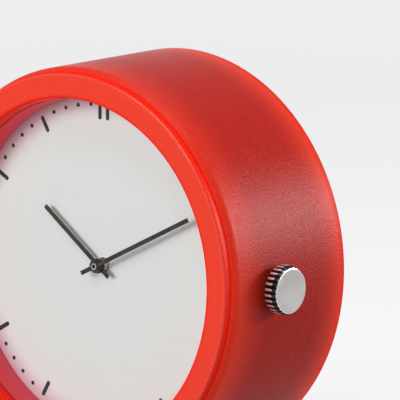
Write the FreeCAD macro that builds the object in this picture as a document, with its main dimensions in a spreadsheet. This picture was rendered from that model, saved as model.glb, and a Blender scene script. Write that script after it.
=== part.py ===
import FreeCAD, Part
import math
import os
import Sketcher

# A round alarm clock: a frosted red drum on its side, a white dial behind a flat lens,
# a knurled crown at three o'clock, and a battery movement with its gear train inside.
# Everything is in millimetres. The drum's axis is Y with the dial facing -Y, X points
# to the crown side, Z is up, and the origin is the middle of the flat it stands on.

os.makedirs("parts", exist_ok=True)
doc = FreeCAD.newDocument("alarm_clock")
sheet = doc.addObject("Spreadsheet::Sheet", "sizes")
used_rows = []


# Sizes

class Size:
    """A number together with the sheet expression that gives it."""

    def __init__(self, number, text):
        self.number = float(number)
        self.text = text

    def __add__(self, other):
        other = as_size(other)
        return Size(self.number + other.number, "(%s + %s)" % (self.text, other.text))

    def __radd__(self, other):
        return as_size(other) + self

    def __sub__(self, other):
        other = as_size(other)
        return Size(self.number - other.number, "(%s - %s)" % (self.text, other.text))

    def __rsub__(self, other):
        return as_size(other) - self

    def __mul__(self, other):
        other = as_size(other)
        return Size(self.number * other.number, "(%s * %s)" % (self.text, other.text))

    def __rmul__(self, other):
        return as_size(other) * self

    def __truediv__(self, other):
        other = as_size(other)
        return Size(self.number / other.number, "(%s / %s)" % (self.text, other.text))

    def __neg__(self):
        return Size(-self.number, "(-1 * %s)" % self.text)


def as_size(value):
    if isinstance(value, Size):
        return value
    return Size(value, "(%s)" % repr(float(value)))


def cosine(angle):
    return Size(math.cos(math.radians(angle.number)), "cos(%s * 1deg)" % angle.text)


def sine(angle):
    return Size(math.sin(math.radians(angle.number)), "sin(%s * 1deg)" % angle.text)


def root(value):
    return Size(math.sqrt(value.number), "sqrt(%s)" % value.text)


def size(alias, number):
    """Put one driving dimension in the sheet under its own name."""
    row = len(used_rows) + 1
    used_rows.append(alias)
    sheet.set("A%d" % row, alias)
    sheet.set("B%d" % row, str(number))
    sheet.setAlias("B%d" % row, alias)
    return Size(number, "sizes." + alias)


# Drum and front
case_radius = size("case_radius", 55.0)
case_depth = size("case_depth", 48.5)
flat_half_width = size("flat_half_width", 15.0)
sleeve_wall = size("sleeve_wall", 1.3)
sleeve_edge_bevel = size("sleeve_edge_bevel", 0.9)
sole_thickness = size("sole_thickness", 1.5)
fit_gap = size("fit_gap", 0.1)
bezel_stand = size("bezel_stand", 2.5)
bezel_edge_bevel = size("bezel_edge_bevel", 0.45)
bezel_lip_depth = size("bezel_lip_depth", 3.9)
bezel_face_width = size("bezel_face_width", 6.7)
bezel_lip_draft = size("bezel_lip_draft", 0.35)
bezel_wall = size("bezel_wall", 4.2)
lens_thickness = size("lens_thickness", 1.5)
spacer_height = size("spacer_height", 7.3)
spacer_step = size("spacer_step", 0.25)
dial_thickness = size("dial_thickness", 0.8)
dial_hole_radius = size("dial_hole_radius", 2.0)

# Dial plate and rear cover
inner_plate_thickness = size("inner_plate_thickness", 2.0)
inner_plate_hole_radius = size("inner_plate_hole_radius", 4.0)
rear_recess = size("rear_recess", 3.0)
cover_thickness = size("cover_thickness", 2.8)
post_radius = size("post_radius", 2.8)
post_inset = size("post_inset", 4.0)
post_angle = size("post_angle", 20.0)
cover_screw_radius = size("cover_screw_radius", 1.0)
cover_screw_length = size("cover_screw_length", 9.0)
screw_head_radius = size("screw_head_radius", 2.1)
screw_head_height = size("screw_head_height", 1.4)
screw_clearance = size("screw_clearance", 0.2)

# Battery bay and door
battery_radius = size("battery_radius", 7.2)
battery_length = size("battery_length", 50.5)
battery_button_radius = size("battery_button_radius", 2.7)
battery_button_height = size("battery_button_height", 1.2)
battery_play = size("battery_play", 0.35)
battery_drop = size("battery_drop", 28.2)
contact_room = size("contact_room", 2.3)
contact_thickness = size("contact_thickness", 0.4)
contact_half_width = size("contact_half_width", 4.5)
bay_wall = size("bay_wall", 1.2)
door_thickness = size("door_thickness", 1.6)
door_sink = size("door_sink", 0.2)
door_gap = size("door_gap", 0.2)
door_overlap = size("door_overlap", 0.8)
hinge_pin_radius = size("hinge_pin_radius", 0.6)
hinge_pin_length = size("hinge_pin_length", 1.4)
running_gap = size("running_gap", 0.05)
latch_half_width = size("latch_half_width", 4.0)
latch_length = size("latch_length", 2.4)
latch_thickness = size("latch_thickness", 1.0)
latch_gap = size("latch_gap", 0.5)
grip_grooves = size("grip_grooves", 3)
grip_start = size("grip_start", 2.0)
grip_pitch = size("grip_pitch", 1.6)

# Movement case
movement_plate = size("movement_plate", 1.6)
movement_half_width = size("movement_half_width", 26.0)
movement_drop = size("movement_drop", 19.2)
movement_rise = size("movement_rise", 24.0)
housing_depth = size("housing_depth", 14.6)
housing_wall = size("housing_wall", 1.2)
housing_back = size("housing_back", 1.4)
ear_length = size("ear_length", 3.0)
ear_half_height = size("ear_half_height", 5.0)
hook_wall = size("hook_wall", 1.4)
hook_bite = size("hook_bite", 1.1)

# Gear train
gear_module = size("gear_module", 0.5)
cannon_teeth = size("cannon_teeth", 8)
motion_teeth = size("motion_teeth", 24)
motion_pinion_teeth = size("motion_pinion_teeth", 6)
hour_teeth = size("hour_teeth", 24)
crown_pinion_teeth = size("crown_pinion_teeth", 8)
alarm_teeth = size("alarm_teeth", 16)
rotor_teeth = size("rotor_teeth", 6)
intermediate_teeth = size("intermediate_teeth", 30)
intermediate_pinion_teeth = size("intermediate_pinion_teeth", 6)
centre_teeth = size("centre_teeth", 36)
addendum = size("addendum", 0.8)
dedendum = size("dedendum", 1.1)
intermediate_direction = size("intermediate_direction", 225.0)
rotor_direction = size("rotor_direction", 180.0)
wheel_width = size("wheel_width", 1.0)
layer_gap = size("layer_gap", 0.25)
contrate_width = size("contrate_width", 1.0)
arbor_radius = size("arbor_radius", 0.6)
arbor_bite = size("arbor_bite", 1.1)
motion_hub_radius = size("motion_hub_radius", 1.0)
post_half_width = size("post_half_width", 1.0)
cam_radius = size("cam_radius", 4.4)
cam_peg = size("cam_peg", 0.5)

# Hands and their pipes
minute_pipe_radius = size("minute_pipe_radius", 0.95)
minute_pipe_bore = size("minute_pipe_bore", 0.5)
minute_pipe_bore_depth = size("minute_pipe_bore_depth", 2.5)
hour_pipe_radius = size("hour_pipe_radius", 1.55)
hand_thickness = size("hand_thickness", 0.35)
hour_hand_height = size("hour_hand_height", 2.2)
minute_hand_height = size("minute_hand_height", 3.65)
minute_hand_length = size("minute_hand_length", 36.9)
minute_hand_tail = size("minute_hand_tail", 5.4)
minute_hand_width = size("minute_hand_width", 1.2)
minute_boss_radius = size("minute_boss_radius", 1.8)
minute_boss_height = size("minute_boss_height", 0.85)
minute_hand_angle = size("minute_hand_angle", 62.5)
hour_hand_length = size("hour_hand_length", 23.8)
hour_hand_tail = size("hour_hand_tail", 4.5)
hour_hand_width = size("hour_hand_width", 1.2)
hour_boss_radius = size("hour_boss_radius", 2.0)
hour_boss_height = size("hour_boss_height", 1.0)
hour_hand_angle = size("hour_hand_angle", 306.0)

# Crown and stem
crown_depth = size("crown_depth", 7.0)
crown_radius = size("crown_radius", 6.8)
crown_face_radius = size("crown_face_radius", 6.3)
crown_thickness = size("crown_thickness", 3.8)
crown_stand = size("crown_stand", 1.4)
crown_bevel = size("crown_bevel", 0.7)
crown_ribs = size("crown_ribs", 26)
crown_groove = size("crown_groove", 0.7)
stem_radius = size("stem_radius", 1.0)
stem_grip = size("stem_grip", 3.0)
stem_pinion_length = size("stem_pinion_length", 2.0)
stem_pinion_overlap = size("stem_pinion_overlap", 0.3)

# Alarm controls on the back
alarm_axis_height = size("alarm_axis_height", 12.0)
alarm_shaft_radius = size("alarm_shaft_radius", 1.2)
alarm_pivot_radius = size("alarm_pivot_radius", 0.8)
knob_radius = size("knob_radius", 6.8)
knob_thickness = size("knob_thickness", 2.3)
knob_gap = size("knob_gap", 0.3)
knob_flutes = size("knob_flutes", 12)
knob_flute = size("knob_flute", 0.8)
scale_marks = size("scale_marks", 12)
scale_mark_length = size("scale_mark_length", 1.8)
scale_mark_width = size("scale_mark_width", 0.6)
scale_mark_height = size("scale_mark_height", 0.3)
control_offset = size("control_offset", 22.0)
control_height = size("control_height", 12.0)
switch_travel = size("switch_travel", 4.0)
switch_neck_half_width = size("switch_neck_half_width", 1.5)
switch_neck_half_height = size("switch_neck_half_height", 1.2)
switch_button_half_width = size("switch_button_half_width", 3.0)
switch_button_half_height = size("switch_button_half_height", 2.2)
switch_button_height = size("switch_button_height", 1.8)
switch_plate_half_width = size("switch_plate_half_width", 5.5)
switch_plate_half_height = size("switch_plate_half_height", 3.0)
switch_plate_thickness = size("switch_plate_thickness", 1.0)
slide_gap = size("slide_gap", 0.1)
buzzer_radius = size("buzzer_radius", 10.0)
buzzer_thickness = size("buzzer_thickness", 2.4)
sound_slots = size("sound_slots", 5)
sound_slot_pitch = size("sound_slot_pitch", 2.6)
sound_slot_half_length = size("sound_slot_half_length", 5.5)

# Stepper motor and electronics
magnet_radius = size("magnet_radius", 3.1)
magnet_thickness = size("magnet_thickness", 2.0)
stator_gap = size("stator_gap", 0.5)
stator_thickness = size("stator_thickness", 1.2)
stator_half_width = size("stator_half_width", 5.4)
stator_leg_width = size("stator_leg_width", 3.4)
stator_rise = size("stator_rise", 28.0)
coil_radius = size("coil_radius", 2.4)
coil_core_half_width = size("coil_core_half_width", 1.3)
coil_core_thickness = size("coil_core_thickness", 1.0)
coil_end_room = size("coil_end_room", 4.4)
board_width = size("board_width", 21.0)
board_height = size("board_height", 13.0)
board_side_gap = size("board_side_gap", 0.4)
chip_half_width = size("chip_half_width", 3.0)
chip_height = size("chip_height", 1.2)
crystal_radius = size("crystal_radius", 1.0)
crystal_length = size("crystal_length", 6.2)

# Places worked out from the sizes, measured from the dial's front face and the drum's axis
axis_height = root(case_radius * case_radius - flat_half_width * flat_half_width)
lens_back = -spacer_height
lens_front = lens_back - lens_thickness
bezel_front = lens_front - bezel_lip_depth
sleeve_front = bezel_front + bezel_stand
case_rear = bezel_front + case_depth
cover_rear = case_rear - rear_recess
cover_front = cover_rear - cover_thickness
sleeve_bore = case_radius - sleeve_wall
bezel_radius = sleeve_bore - fit_gap
bezel_bore = bezel_radius - bezel_wall
bezel_opening_radius = bezel_radius - bezel_face_width
window_radius = bezel_opening_radius - bezel_lip_draft
spacer_bore = window_radius - spacer_step
stack_radius = bezel_bore - fit_gap
sole_level = axis_height - sole_thickness
inner_plate_back = dial_thickness + inner_plate_thickness
plate_back = inner_plate_back + movement_plate
housing_rear = plate_back + housing_depth
housing_floor = housing_rear - housing_back
post_ring = stack_radius - post_inset

alarm_layer = plate_back + layer_gap
hour_layer = alarm_layer + wheel_width + 2 * layer_gap
crown_pinion_pitch = gear_module * crown_pinion_teeth / 2
contrate_pitch = crown_depth + crown_pinion_pitch
contrate_tip = contrate_pitch - addendum * gear_module
motion_layer = contrate_pitch + dedendum * gear_module
motion_layer_end = motion_layer + wheel_width
clutch_end = motion_layer_end + 2 * layer_gap
centre_layer = clutch_end + running_gap
centre_layer_end = centre_layer + wheel_width - layer_gap
collar_end = centre_layer_end + 2 * layer_gap
intermediate_layer = collar_end + layer_gap
intermediate_layer_end = intermediate_layer + wheel_width - layer_gap
stator_front = intermediate_layer_end + wheel_width
magnet_front = stator_front - (magnet_thickness - stator_thickness) / 2
arbor_start = plate_back - arbor_bite
arbor_end = housing_floor + arbor_bite

motion_distance = gear_module * (cannon_teeth + motion_teeth) / 2
hour_module = 2 * motion_distance / (motion_pinion_teeth + hour_teeth)
alarm_module = alarm_axis_height / alarm_teeth
intermediate_distance = gear_module * (centre_teeth + intermediate_pinion_teeth) / 2
rotor_distance = gear_module * (intermediate_teeth + rotor_teeth) / 2
intermediate_x = intermediate_distance * cosine(intermediate_direction)
intermediate_z = intermediate_distance * sine(intermediate_direction)
rotor_x = intermediate_x + rotor_distance * cosine(rotor_direction)
rotor_z = intermediate_z + rotor_distance * sine(rotor_direction)

bay_half_height = battery_radius + battery_play
bay_half_length = battery_length / 2 + contact_room
door_outer = cover_rear - door_sink
door_inner = door_outer - door_thickness
hinge_y = door_outer - door_thickness / 2
hinge_z = -battery_drop - bay_half_height - door_overlap + door_thickness / 2
battery_y = door_inner - battery_play - battery_radius
bay_floor = battery_y - battery_radius - battery_play
bay_front = bay_floor - bay_wall
doc.recompute()


# Building blocks

sub_parts = []


def place(part, x=0, z=0, rotation=None):
    """Put a piece on its own axis, given from the drum's axis and the dial's front face."""
    base = (as_size(x), -case_depth / 2 - bezel_front, axis_height + z)
    vector = FreeCAD.Vector(*[value.number for value in base])
    part.Placement = FreeCAD.Placement(vector, rotation or FreeCAD.Rotation())
    for letter, value in zip("xyz", base):
        part.setExpression("Placement.Base." + letter, value.text)


def turned_by(degrees):
    """A turn about the drum's axis, counterclockwise as seen from the front."""
    return FreeCAD.Rotation(FreeCAD.Vector(0, -1, 0), degrees)


def along_x(degrees=0.0):
    """Lay a piece that was made along Y along X instead, turned about its own axis."""
    return FreeCAD.Rotation(FreeCAD.Vector(0, 0, 1), -90).multiply(turned_by(degrees))


def body(name, x=0, z=0, rotation=None):
    part = doc.addObject("PartDesign::Body", name)
    part.Label = name
    place(part, x, z, rotation)
    sub_parts.append(part)
    return part


def bind(owner, prop, value):
    owner.setExpression(prop, as_size(value).text)


def datum(part, role):
    return [feature for feature in part.Origin.OriginFeatures if feature.Role == role][0]


def sketch(part, name, plane="XZ_Plane", offset=0):
    """A sketch on one of the body's own planes; offset runs along Y, X or Z."""
    drawing = part.newObject("Sketcher::SketchObject", name)
    drawing.AttachmentSupport = [(datum(part, plane), "")]
    drawing.MapMode = "FlatFace"
    away = as_size(offset)
    if plane == "XZ_Plane":
        away = -away
    drawing.AttachmentOffset = FreeCAD.Placement(FreeCAD.Vector(0, 0, away.number), FreeCAD.Rotation())
    bind(drawing, "AttachmentOffset.Base.z", away)
    return drawing


def pin_point(drawing, geometry, position, point):
    for kind, value in zip(("DistanceX", "DistanceY"), point):
        value = as_size(value)
        index = drawing.addConstraint(Sketcher.Constraint(kind, geometry, position, value.number))
        drawing.setExpression("Constraints[%d]" % index, value.text)


def outline(drawing, points):
    """A closed outline of straight lines, each corner held by its own two dimensions."""
    first = drawing.GeometryCount
    count = len(points)
    corners = [FreeCAD.Vector(as_size(x).number, as_size(y).number, 0) for x, y in points]
    for index, corner in enumerate(corners):
        drawing.addGeometry(Part.LineSegment(corner, corners[(index + 1) % count]), False)
    for index in range(count):
        follower = first + (index + 1) % count
        drawing.addConstraint(Sketcher.Constraint("Coincident", first + index, 2, follower, 1))
    for index, point in enumerate(points):
        pin_point(drawing, first + index, 1, point)


def rectangle(drawing, left, right, low, high):
    outline(drawing, [(left, low), (right, low), (right, high), (left, high)])


def circle(drawing, x, y, radius):
    centre = FreeCAD.Vector(as_size(x).number, as_size(y).number, 0)
    radius = as_size(radius)
    geometry = drawing.addGeometry(Part.Circle(centre, FreeCAD.Vector(0, 0, 1), radius.number), False)
    pin_point(drawing, geometry, 3, (x, y))
    index = drawing.addConstraint(Sketcher.Constraint("Radius", geometry, radius.number))
    drawing.setExpression("Constraints[%d]" % index, radius.text)


def revolve(part, name, profile):
    """Turn a profile of (radius, y) corners about the body's Y axis."""
    drawing = sketch(part, name + "_profile", "XY_Plane")
    outline(drawing, profile)
    feature = part.newObject("PartDesign::Revolution", name)
    feature.Profile = drawing
    feature.ReferenceAxis = (drawing, ["V_Axis"])
    feature.Angle = 360
    return feature


def tube(part, name, outer, inner, start, end):
    return revolve(part, name, [(inner, start), (outer, start), (outer, end), (inner, end)])


def pad(part, name, drawing, length):
    """Grow a sketch towards +Y, or towards +X or +Z from the other planes."""
    feature = part.newObject("PartDesign::Pad", name)
    feature.Profile = drawing
    feature.Reversed = drawing.AttachmentSupport[0][0].Role == "XZ_Plane"
    bind(feature, "Length", length)
    return feature


def pocket(part, name, drawing, length):
    """Cut a sketch in the same direction as a pad of it would grow."""
    feature = part.newObject("PartDesign::Pocket", name)
    feature.Profile = drawing
    feature.Reversed = drawing.AttachmentSupport[0][0].Role != "XZ_Plane"
    bind(feature, "Length", length)
    return feature


def polar(part, name, feature, count):
    """Repeat a feature all round the body's Y axis."""
    pattern = part.newObject("PartDesign::PolarPattern", name)
    pattern.Originals = [feature]
    pattern.Axis = (datum(part, "Y_Axis"), [""])
    pattern.Angle = 360
    bind(pattern, "Occurrences", count)
    part.Tip = pattern
    return pattern


def drill(part, name, spots, radius, start, length):
    """Round holes along Y, one at each (x, z) spot."""
    drawing = sketch(part, name + "_circles", "XZ_Plane", start)
    for x, z in spots:
        circle(drawing, x, z, radius)
    return pocket(part, name, drawing, length)


def bevel_edges(part, name, width, wanted):
    """Chamfer the edges of the piece so far that the given test picks out."""
    doc.recompute()
    base = part.Tip
    names = ["Edge%d" % (index + 1) for index, edge in enumerate(base.Shape.Edges) if wanted(edge)]
    feature = part.newObject("PartDesign::Chamfer", name)
    feature.Base = (base, names)
    bind(feature, "Size", width)
    return feature


def rim_edges(radius, places):
    """A test for the edges at those places along the axis that lie on that radius or its flat."""
    def test(edge):
        ends = [vertex.Point for vertex in edge.Vertexes]
        if not any(all(abs(end.y - y.number) < 0.01 for end in ends) for y in places):
            return False
        if isinstance(edge.Curve, Part.Circle):
            return abs(edge.Curve.Radius - radius.number) < 0.01
        return all(abs(math.hypot(end.x, end.z) - radius.number) < 0.01 for end in ends)
    return test


def cut_flat(part, name, level):
    """Trim a round piece flat below the given height under the drum's axis."""
    drawing = sketch(part, name + "_outline", "XZ_Plane", bezel_front - fit_gap)
    rectangle(drawing, -case_radius, case_radius, -case_radius - fit_gap, -level)
    return pocket(part, name, drawing, case_depth + 2 * fit_gap)


# Gear teeth

TOOTH_SHARE = {"wheel": 0.44, "pinion": 0.42}
TIP_FLANK = {"wheel": 20.0, "pinion": 18.0}
ROOT_FLANK = {"wheel": 20.0, "pinion": 4.0}


def pitch_radius(module, teeth):
    return module * teeth / 2


def tip_radius(module, teeth):
    return pitch_radius(module, teeth) + addendum * module


def root_radius(module, teeth):
    return pitch_radius(module, teeth) - dedendum * module


def half_tooth(module, kind, above_pitch):
    """Half a tooth's thickness at a height above (or below) the pitch line."""
    flank = TIP_FLANK[kind] if above_pitch.number > 0 else ROOT_FLANK[kind]
    return TOOTH_SHARE[kind] * math.pi * module / 2 - above_pitch * math.tan(math.radians(flank))


def cut_teeth(part, name, module, teeth, kind, start, end):
    """Cut the straight-flanked spaces between the teeth of a blank turned to the tip radius."""
    half_angle = Size(180.0, "180") / teeth
    corners = []
    for height in (-dedendum * module, addendum * module):
        radius = pitch_radius(module, teeth) + height
        tooth = half_tooth(module, kind, height)
        across = radius * sine(half_angle) - tooth * cosine(half_angle)
        along = radius * cosine(half_angle) + tooth * sine(half_angle)
        corners.append((along, across))
    (root_x, root_z), (tip_x, tip_z) = corners
    out_x = tip_x + 0.3 * (tip_x - root_x)
    out_z = tip_z + 0.3 * (tip_z - root_z)
    drawing = sketch(part, name + "_space", "XZ_Plane", start)
    outline(drawing, [(root_x, -root_z), (out_x, -out_z), (out_x, out_z), (root_x, root_z)])
    space = pocket(part, name + "_first", drawing, end - start)
    return polar(part, name, space, teeth)


def meshing_turn(turn, teeth, other_teeth, direction):
    """How far the next wheel is turned so that its teeth stand in this wheel's spaces."""
    pitch = 360.0 / teeth.number
    other_pitch = 360.0 / other_teeth.number
    share = (turn - direction) / pitch
    return direction + 180.0 - share * other_pitch + other_pitch / 2


centre_turn = 0.0
minute_turn = 0.0
motion_turn = meshing_turn(minute_turn, cannon_teeth, motion_teeth, 0.0)
hour_turn = meshing_turn(motion_turn, motion_pinion_teeth, hour_teeth, 180.0)
intermediate_turn = meshing_turn(
    centre_turn, centre_teeth, intermediate_pinion_teeth, intermediate_direction.number)
rotor_turn = meshing_turn(
    intermediate_turn, intermediate_teeth, rotor_teeth, rotor_direction.number)
alarm_turn = 0.0
alarm_shaft_turn = meshing_turn(alarm_turn, alarm_teeth, alarm_teeth, 90.0)
crown_pitch_angle = 360.0 / crown_pinion_teeth.number
contrate_share = motion_turn / (360.0 / motion_teeth.number)
crown_turn = 180.0 - contrate_share * crown_pitch_angle + crown_pitch_angle / 2


# Drum

def case_sleeve():
    """The frosted red drum: a thin tube, with a flat sole along its underside."""
    part = body("case_sleeve")
    tube(part, "drum", case_radius, sleeve_bore, sleeve_front, case_rear)
    middle = case_radius - sleeve_wall / 2
    half_top = root(middle * middle - sole_level * sole_level)
    sole = sketch(part, "sole_outline", "XZ_Plane", sleeve_front)
    outline(sole, [(-flat_half_width, -axis_height), (flat_half_width, -axis_height),
                   (half_top, -sole_level), (-half_top, -sole_level)])
    pad(part, "sole", sole, case_rear - sleeve_front)
    cut_flat(part, "resting_flat", axis_height)
    bevel_edges(part, "edge_bevels", sleeve_edge_bevel,
                rim_edges(case_radius, (sleeve_front, case_rear)))
    hole = sketch(part, "stem_hole_circle", "YZ_Plane")
    circle(hole, crown_depth, 0, stem_radius + slide_gap)
    pocket(part, "stem_hole", hole, case_radius + fit_gap)


def front_bezel():
    """The red front ring; it plugs into the drum and holds the lens and the dial."""
    part = body("front_bezel")
    revolve(part, "ring", [
        (window_radius, lens_front), (bezel_opening_radius, bezel_front),
        (bezel_radius, bezel_front), (bezel_radius, inner_plate_back),
        (bezel_bore, inner_plate_back), (bezel_bore, lens_front)])
    cut_flat(part, "key_flat", sole_level - fit_gap)
    bevel_edges(part, "outer_bevel", bezel_edge_bevel, rim_edges(bezel_radius, (bezel_front,)))


def lens():
    part = body("lens")
    revolve(part, "disc", [
        (0, lens_front), (stack_radius, lens_front), (stack_radius, lens_back), (0, lens_back)])


def dial_spacer_ring():
    """The red ring that stands on the dial and keeps the lens off the hands."""
    part = body("dial_spacer_ring")
    tube(part, "ring", stack_radius, spacer_bore, lens_back, 0)


def dial():
    part = body("dial")
    tube(part, "disc", stack_radius, dial_hole_radius, 0, dial_thickness)


def post_spots():
    """One post on each side, above the crown's stem and the battery bay."""
    across = post_ring * cosine(post_angle)
    up = post_ring * sine(post_angle)
    return [(across, up), (-across, up)]


def inner_plate():
    """The plate behind the dial; it carries the movement, and its posts the rear cover."""
    part = body("inner_plate")
    tube(part, "disc", stack_radius, inner_plate_hole_radius, dial_thickness, inner_plate_back)
    posts = sketch(part, "post_circles", "XZ_Plane", inner_plate_back)
    for x, z in post_spots():
        circle(posts, x, z, post_radius)
    pad(part, "posts", posts, cover_front - inner_plate_back)
    depth = cover_screw_length - cover_thickness
    drill(part, "post_holes", post_spots(), cover_screw_radius, cover_front - depth, depth)
    hooks = sketch(part, "hook_outlines", "XY_Plane", -ear_half_height)
    leg = movement_half_width + ear_length + slide_gap
    nose = plate_back + slide_gap
    for side in (-1, 1):
        outline(hooks, [
            (side * leg, inner_plate_back), (side * (leg + hook_wall), inner_plate_back),
            (side * (leg + hook_wall), nose), (side * leg, nose + hook_wall),
            (side * (leg - hook_bite), nose), (side * leg, nose)])
    pad(part, "hooks", hooks, 2 * ear_half_height)


def rear_cover():
    """The back plate, with the battery bay, the door's seat and the alarm's controls."""
    part = body("rear_cover")
    revolve(part, "plate", [(0, cover_front), (bezel_radius, cover_front),
                            (bezel_radius, cover_rear), (0, cover_rear)])
    cut_flat(part, "key_flat", sole_level - fit_gap)
    middle = -battery_drop
    outer_length = bay_half_length + bay_wall
    outer_height = bay_half_height + bay_wall
    box = sketch(part, "bay_outline", "XZ_Plane", bay_front)
    rectangle(box, -outer_length, outer_length, middle - outer_height, middle + outer_height)
    pad(part, "bay", box, cover_front - bay_front)
    hollow = sketch(part, "bay_room_outline", "XZ_Plane", bay_floor)
    rectangle(hollow, -bay_half_length, bay_half_length,
              middle - bay_half_height, middle + bay_half_height)
    pocket(part, "bay_room", hollow, cover_rear - bay_floor)
    seat = sketch(part, "door_seat_outline", "XZ_Plane", door_inner - running_gap)
    half_seat = bay_half_length + door_overlap + door_gap
    rectangle(seat, -half_seat, half_seat, hinge_z - door_thickness / 2 - door_gap,
              middle + bay_half_height + door_overlap + door_gap)
    pocket(part, "door_seat", seat, cover_thickness)
    scoop = sketch(part, "finger_scoop_outline", "XZ_Plane", door_outer - door_thickness / 2)
    scoop_top = middle + bay_half_height + door_overlap + latch_half_width
    rectangle(scoop, -latch_half_width, latch_half_width, middle + bay_half_height, scoop_top)
    pocket(part, "finger_scoop", scoop, door_thickness)
    pins = sketch(part, "hinge_slot_outline", "YZ_Plane", -half_seat - hinge_pin_length)
    room = hinge_pin_radius + running_gap
    rectangle(pins, hinge_y - room, hinge_y + room, hinge_z - room, hinge_z + room)
    pocket(part, "hinge_slots", pins, 2 * (half_seat + hinge_pin_length))
    grille = sketch(part, "sound_slot_outlines", "XZ_Plane", cover_front)
    for index in range(int(sound_slots.number)):
        z = control_height + (index - (sound_slots - 1) / 2) * sound_slot_pitch
        rectangle(grille, -control_offset - sound_slot_half_length,
                  -control_offset + sound_slot_half_length,
                  z - sound_slot_pitch / 4, z + sound_slot_pitch / 4)
    pocket(part, "sound_slots", grille, cover_thickness)
    drill(part, "shaft_hole", [(0, alarm_axis_height)], alarm_shaft_radius + running_gap,
          cover_front, cover_thickness)
    slot = sketch(part, "switch_slot_outline", "XZ_Plane", cover_front)
    rectangle(slot, control_offset - switch_neck_half_width - slide_gap,
              control_offset + switch_neck_half_width + switch_travel + slide_gap,
              control_height - switch_neck_half_height - slide_gap,
              control_height + switch_neck_half_height + slide_gap)
    pocket(part, "switch_slot", slot, cover_thickness)
    rails = sketch(part, "switch_rail_outlines", "XZ_Plane", cover_front - switch_plate_thickness)
    near = switch_plate_half_height + slide_gap
    far = near + bay_wall
    for low, high in ((near, far), (-far, -near)):
        rectangle(rails, control_offset - switch_plate_half_width,
                  control_offset + switch_plate_half_width + switch_travel,
                  control_height + low, control_height + high)
    pad(part, "switch_rails", rails, switch_plate_thickness)
    marks = sketch(part, "scale_mark_outlines", "XZ_Plane", cover_rear)
    inner = knob_radius + 2 * knob_gap
    outer = inner + scale_mark_length
    half = scale_mark_width / 2
    step = Size(360.0, "360") / scale_marks
    for index in range(int(scale_marks.number)):
        along_x, along_z = cosine(index * step), sine(index * step)
        outline(marks, [(reach * along_x - side * half * along_z,
                         reach * along_z + side * half * along_x + alarm_axis_height)
                        for reach, side in ((inner, -1), (outer, -1), (outer, 1), (inner, 1))])
    pad(part, "scale_marks", marks, scale_mark_height)
    drill(part, "screw_holes", post_spots(), cover_screw_radius + screw_clearance,
          cover_front, cover_thickness)


def battery_door():
    """The lid of the battery bay; pins at its lower edge snap into the cover."""
    part = body("battery_door")
    middle = -battery_drop
    half_length = bay_half_length + door_overlap
    top = middle + bay_half_height + door_overlap
    panel = sketch(part, "panel_outline", "XZ_Plane", door_inner)
    rectangle(panel, -half_length, half_length, hinge_z, top)
    pad(part, "panel", panel, door_thickness)
    barrel = sketch(part, "barrel_circle", "YZ_Plane", -half_length)
    circle(barrel, hinge_y, hinge_z, door_thickness / 2)
    pad(part, "barrel", barrel, 2 * half_length)
    pins = sketch(part, "pin_circle", "YZ_Plane", -half_length - hinge_pin_length)
    circle(pins, hinge_y, hinge_z, hinge_pin_radius)
    pad(part, "pins", pins, 2 * (half_length + hinge_pin_length))
    latch = sketch(part, "latch_outline", "XZ_Plane", door_inner - latch_length)
    latch_top = middle + bay_half_height - latch_gap
    rectangle(latch, -latch_half_width, latch_half_width, latch_top - latch_thickness, latch_top)
    pad(part, "latch", latch, latch_length)
    for index in range(int(grip_grooves.number)):
        groove = sketch(part, "grip_outline_%d" % index, "XZ_Plane", door_outer - door_sink)
        low = top - grip_start - index * grip_pitch
        rectangle(groove, -latch_half_width, latch_half_width, low - door_gap, low + door_gap)
        pocket(part, "grip_%d" % index, groove, door_sink)


def battery():
    """One AA cell, its positive end towards the crown."""
    part = body("battery", 0, -battery_drop, along_x())
    part.setExpression("Placement.Base.y", (battery_y - case_depth / 2 - bezel_front).text)
    half = battery_length / 2
    shoulder = half - battery_button_height
    revolve(part, "cell", [
        (0, -half), (battery_radius, -half), (battery_radius, shoulder),
        (battery_button_radius, shoulder), (battery_button_radius, half), (0, half)])


def battery_spring():
    """The negative leaf: a strip bent back on itself, so that it presses on the cell."""
    part = body("battery_spring")
    low = -battery_drop - contact_half_width
    strip = sketch(part, "strip_outline", "XY_Plane", low)
    wall = -bay_half_length + running_gap
    touch = -battery_length / 2 - running_gap
    back = battery_y + contact_half_width
    front = battery_y - contact_half_width
    outline(strip, [
        (wall, back), (wall, front), (wall + contact_thickness, front),
        (touch, battery_y), (touch - contact_thickness, battery_y),
        (wall + contact_thickness, front + 2 * contact_thickness), (wall + contact_thickness, back)])
    pad(part, "strip", strip, 2 * contact_half_width)


def battery_contact():
    """The positive plate, dished so that it reaches the cell's button."""
    part = body("battery_contact")
    middle = -battery_drop
    wall = bay_half_length - running_gap
    plate = sketch(part, "plate_outline", "YZ_Plane", wall - contact_thickness)
    rectangle(plate, battery_y - contact_half_width, battery_y + contact_half_width,
              middle - contact_half_width, middle + contact_half_width)
    pad(part, "plate", plate, contact_thickness)
    reach = battery_length / 2 + running_gap
    dish = sketch(part, "dish_circle", "YZ_Plane", reach)
    circle(dish, battery_y, middle, battery_button_radius)
    pad(part, "dish", dish, wall - contact_thickness - reach)


# Screws

def screw(shank_radius, head_radius, head_height, length, x, z, head_y):
    """One flat-headed screw driven towards -Y, with a slot across its head."""
    towards = FreeCAD.Vector(0, -1, 0)
    seat = FreeCAD.Vector(x, head_y, z)
    shank = Part.makeCylinder(shank_radius, length, seat, towards)
    head = Part.makeCylinder(head_radius, head_height, seat, FreeCAD.Vector(0, 1, 0))
    slot_width = head_radius / 3
    slot_depth = head_height / 2
    corner = FreeCAD.Vector(x - head_radius, head_y + head_height - slot_depth, z - slot_width / 2)
    slot = Part.makeBox(2 * head_radius, slot_depth, slot_width, corner)
    return shank.fuse(head).cut(slot).removeSplitter()


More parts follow.
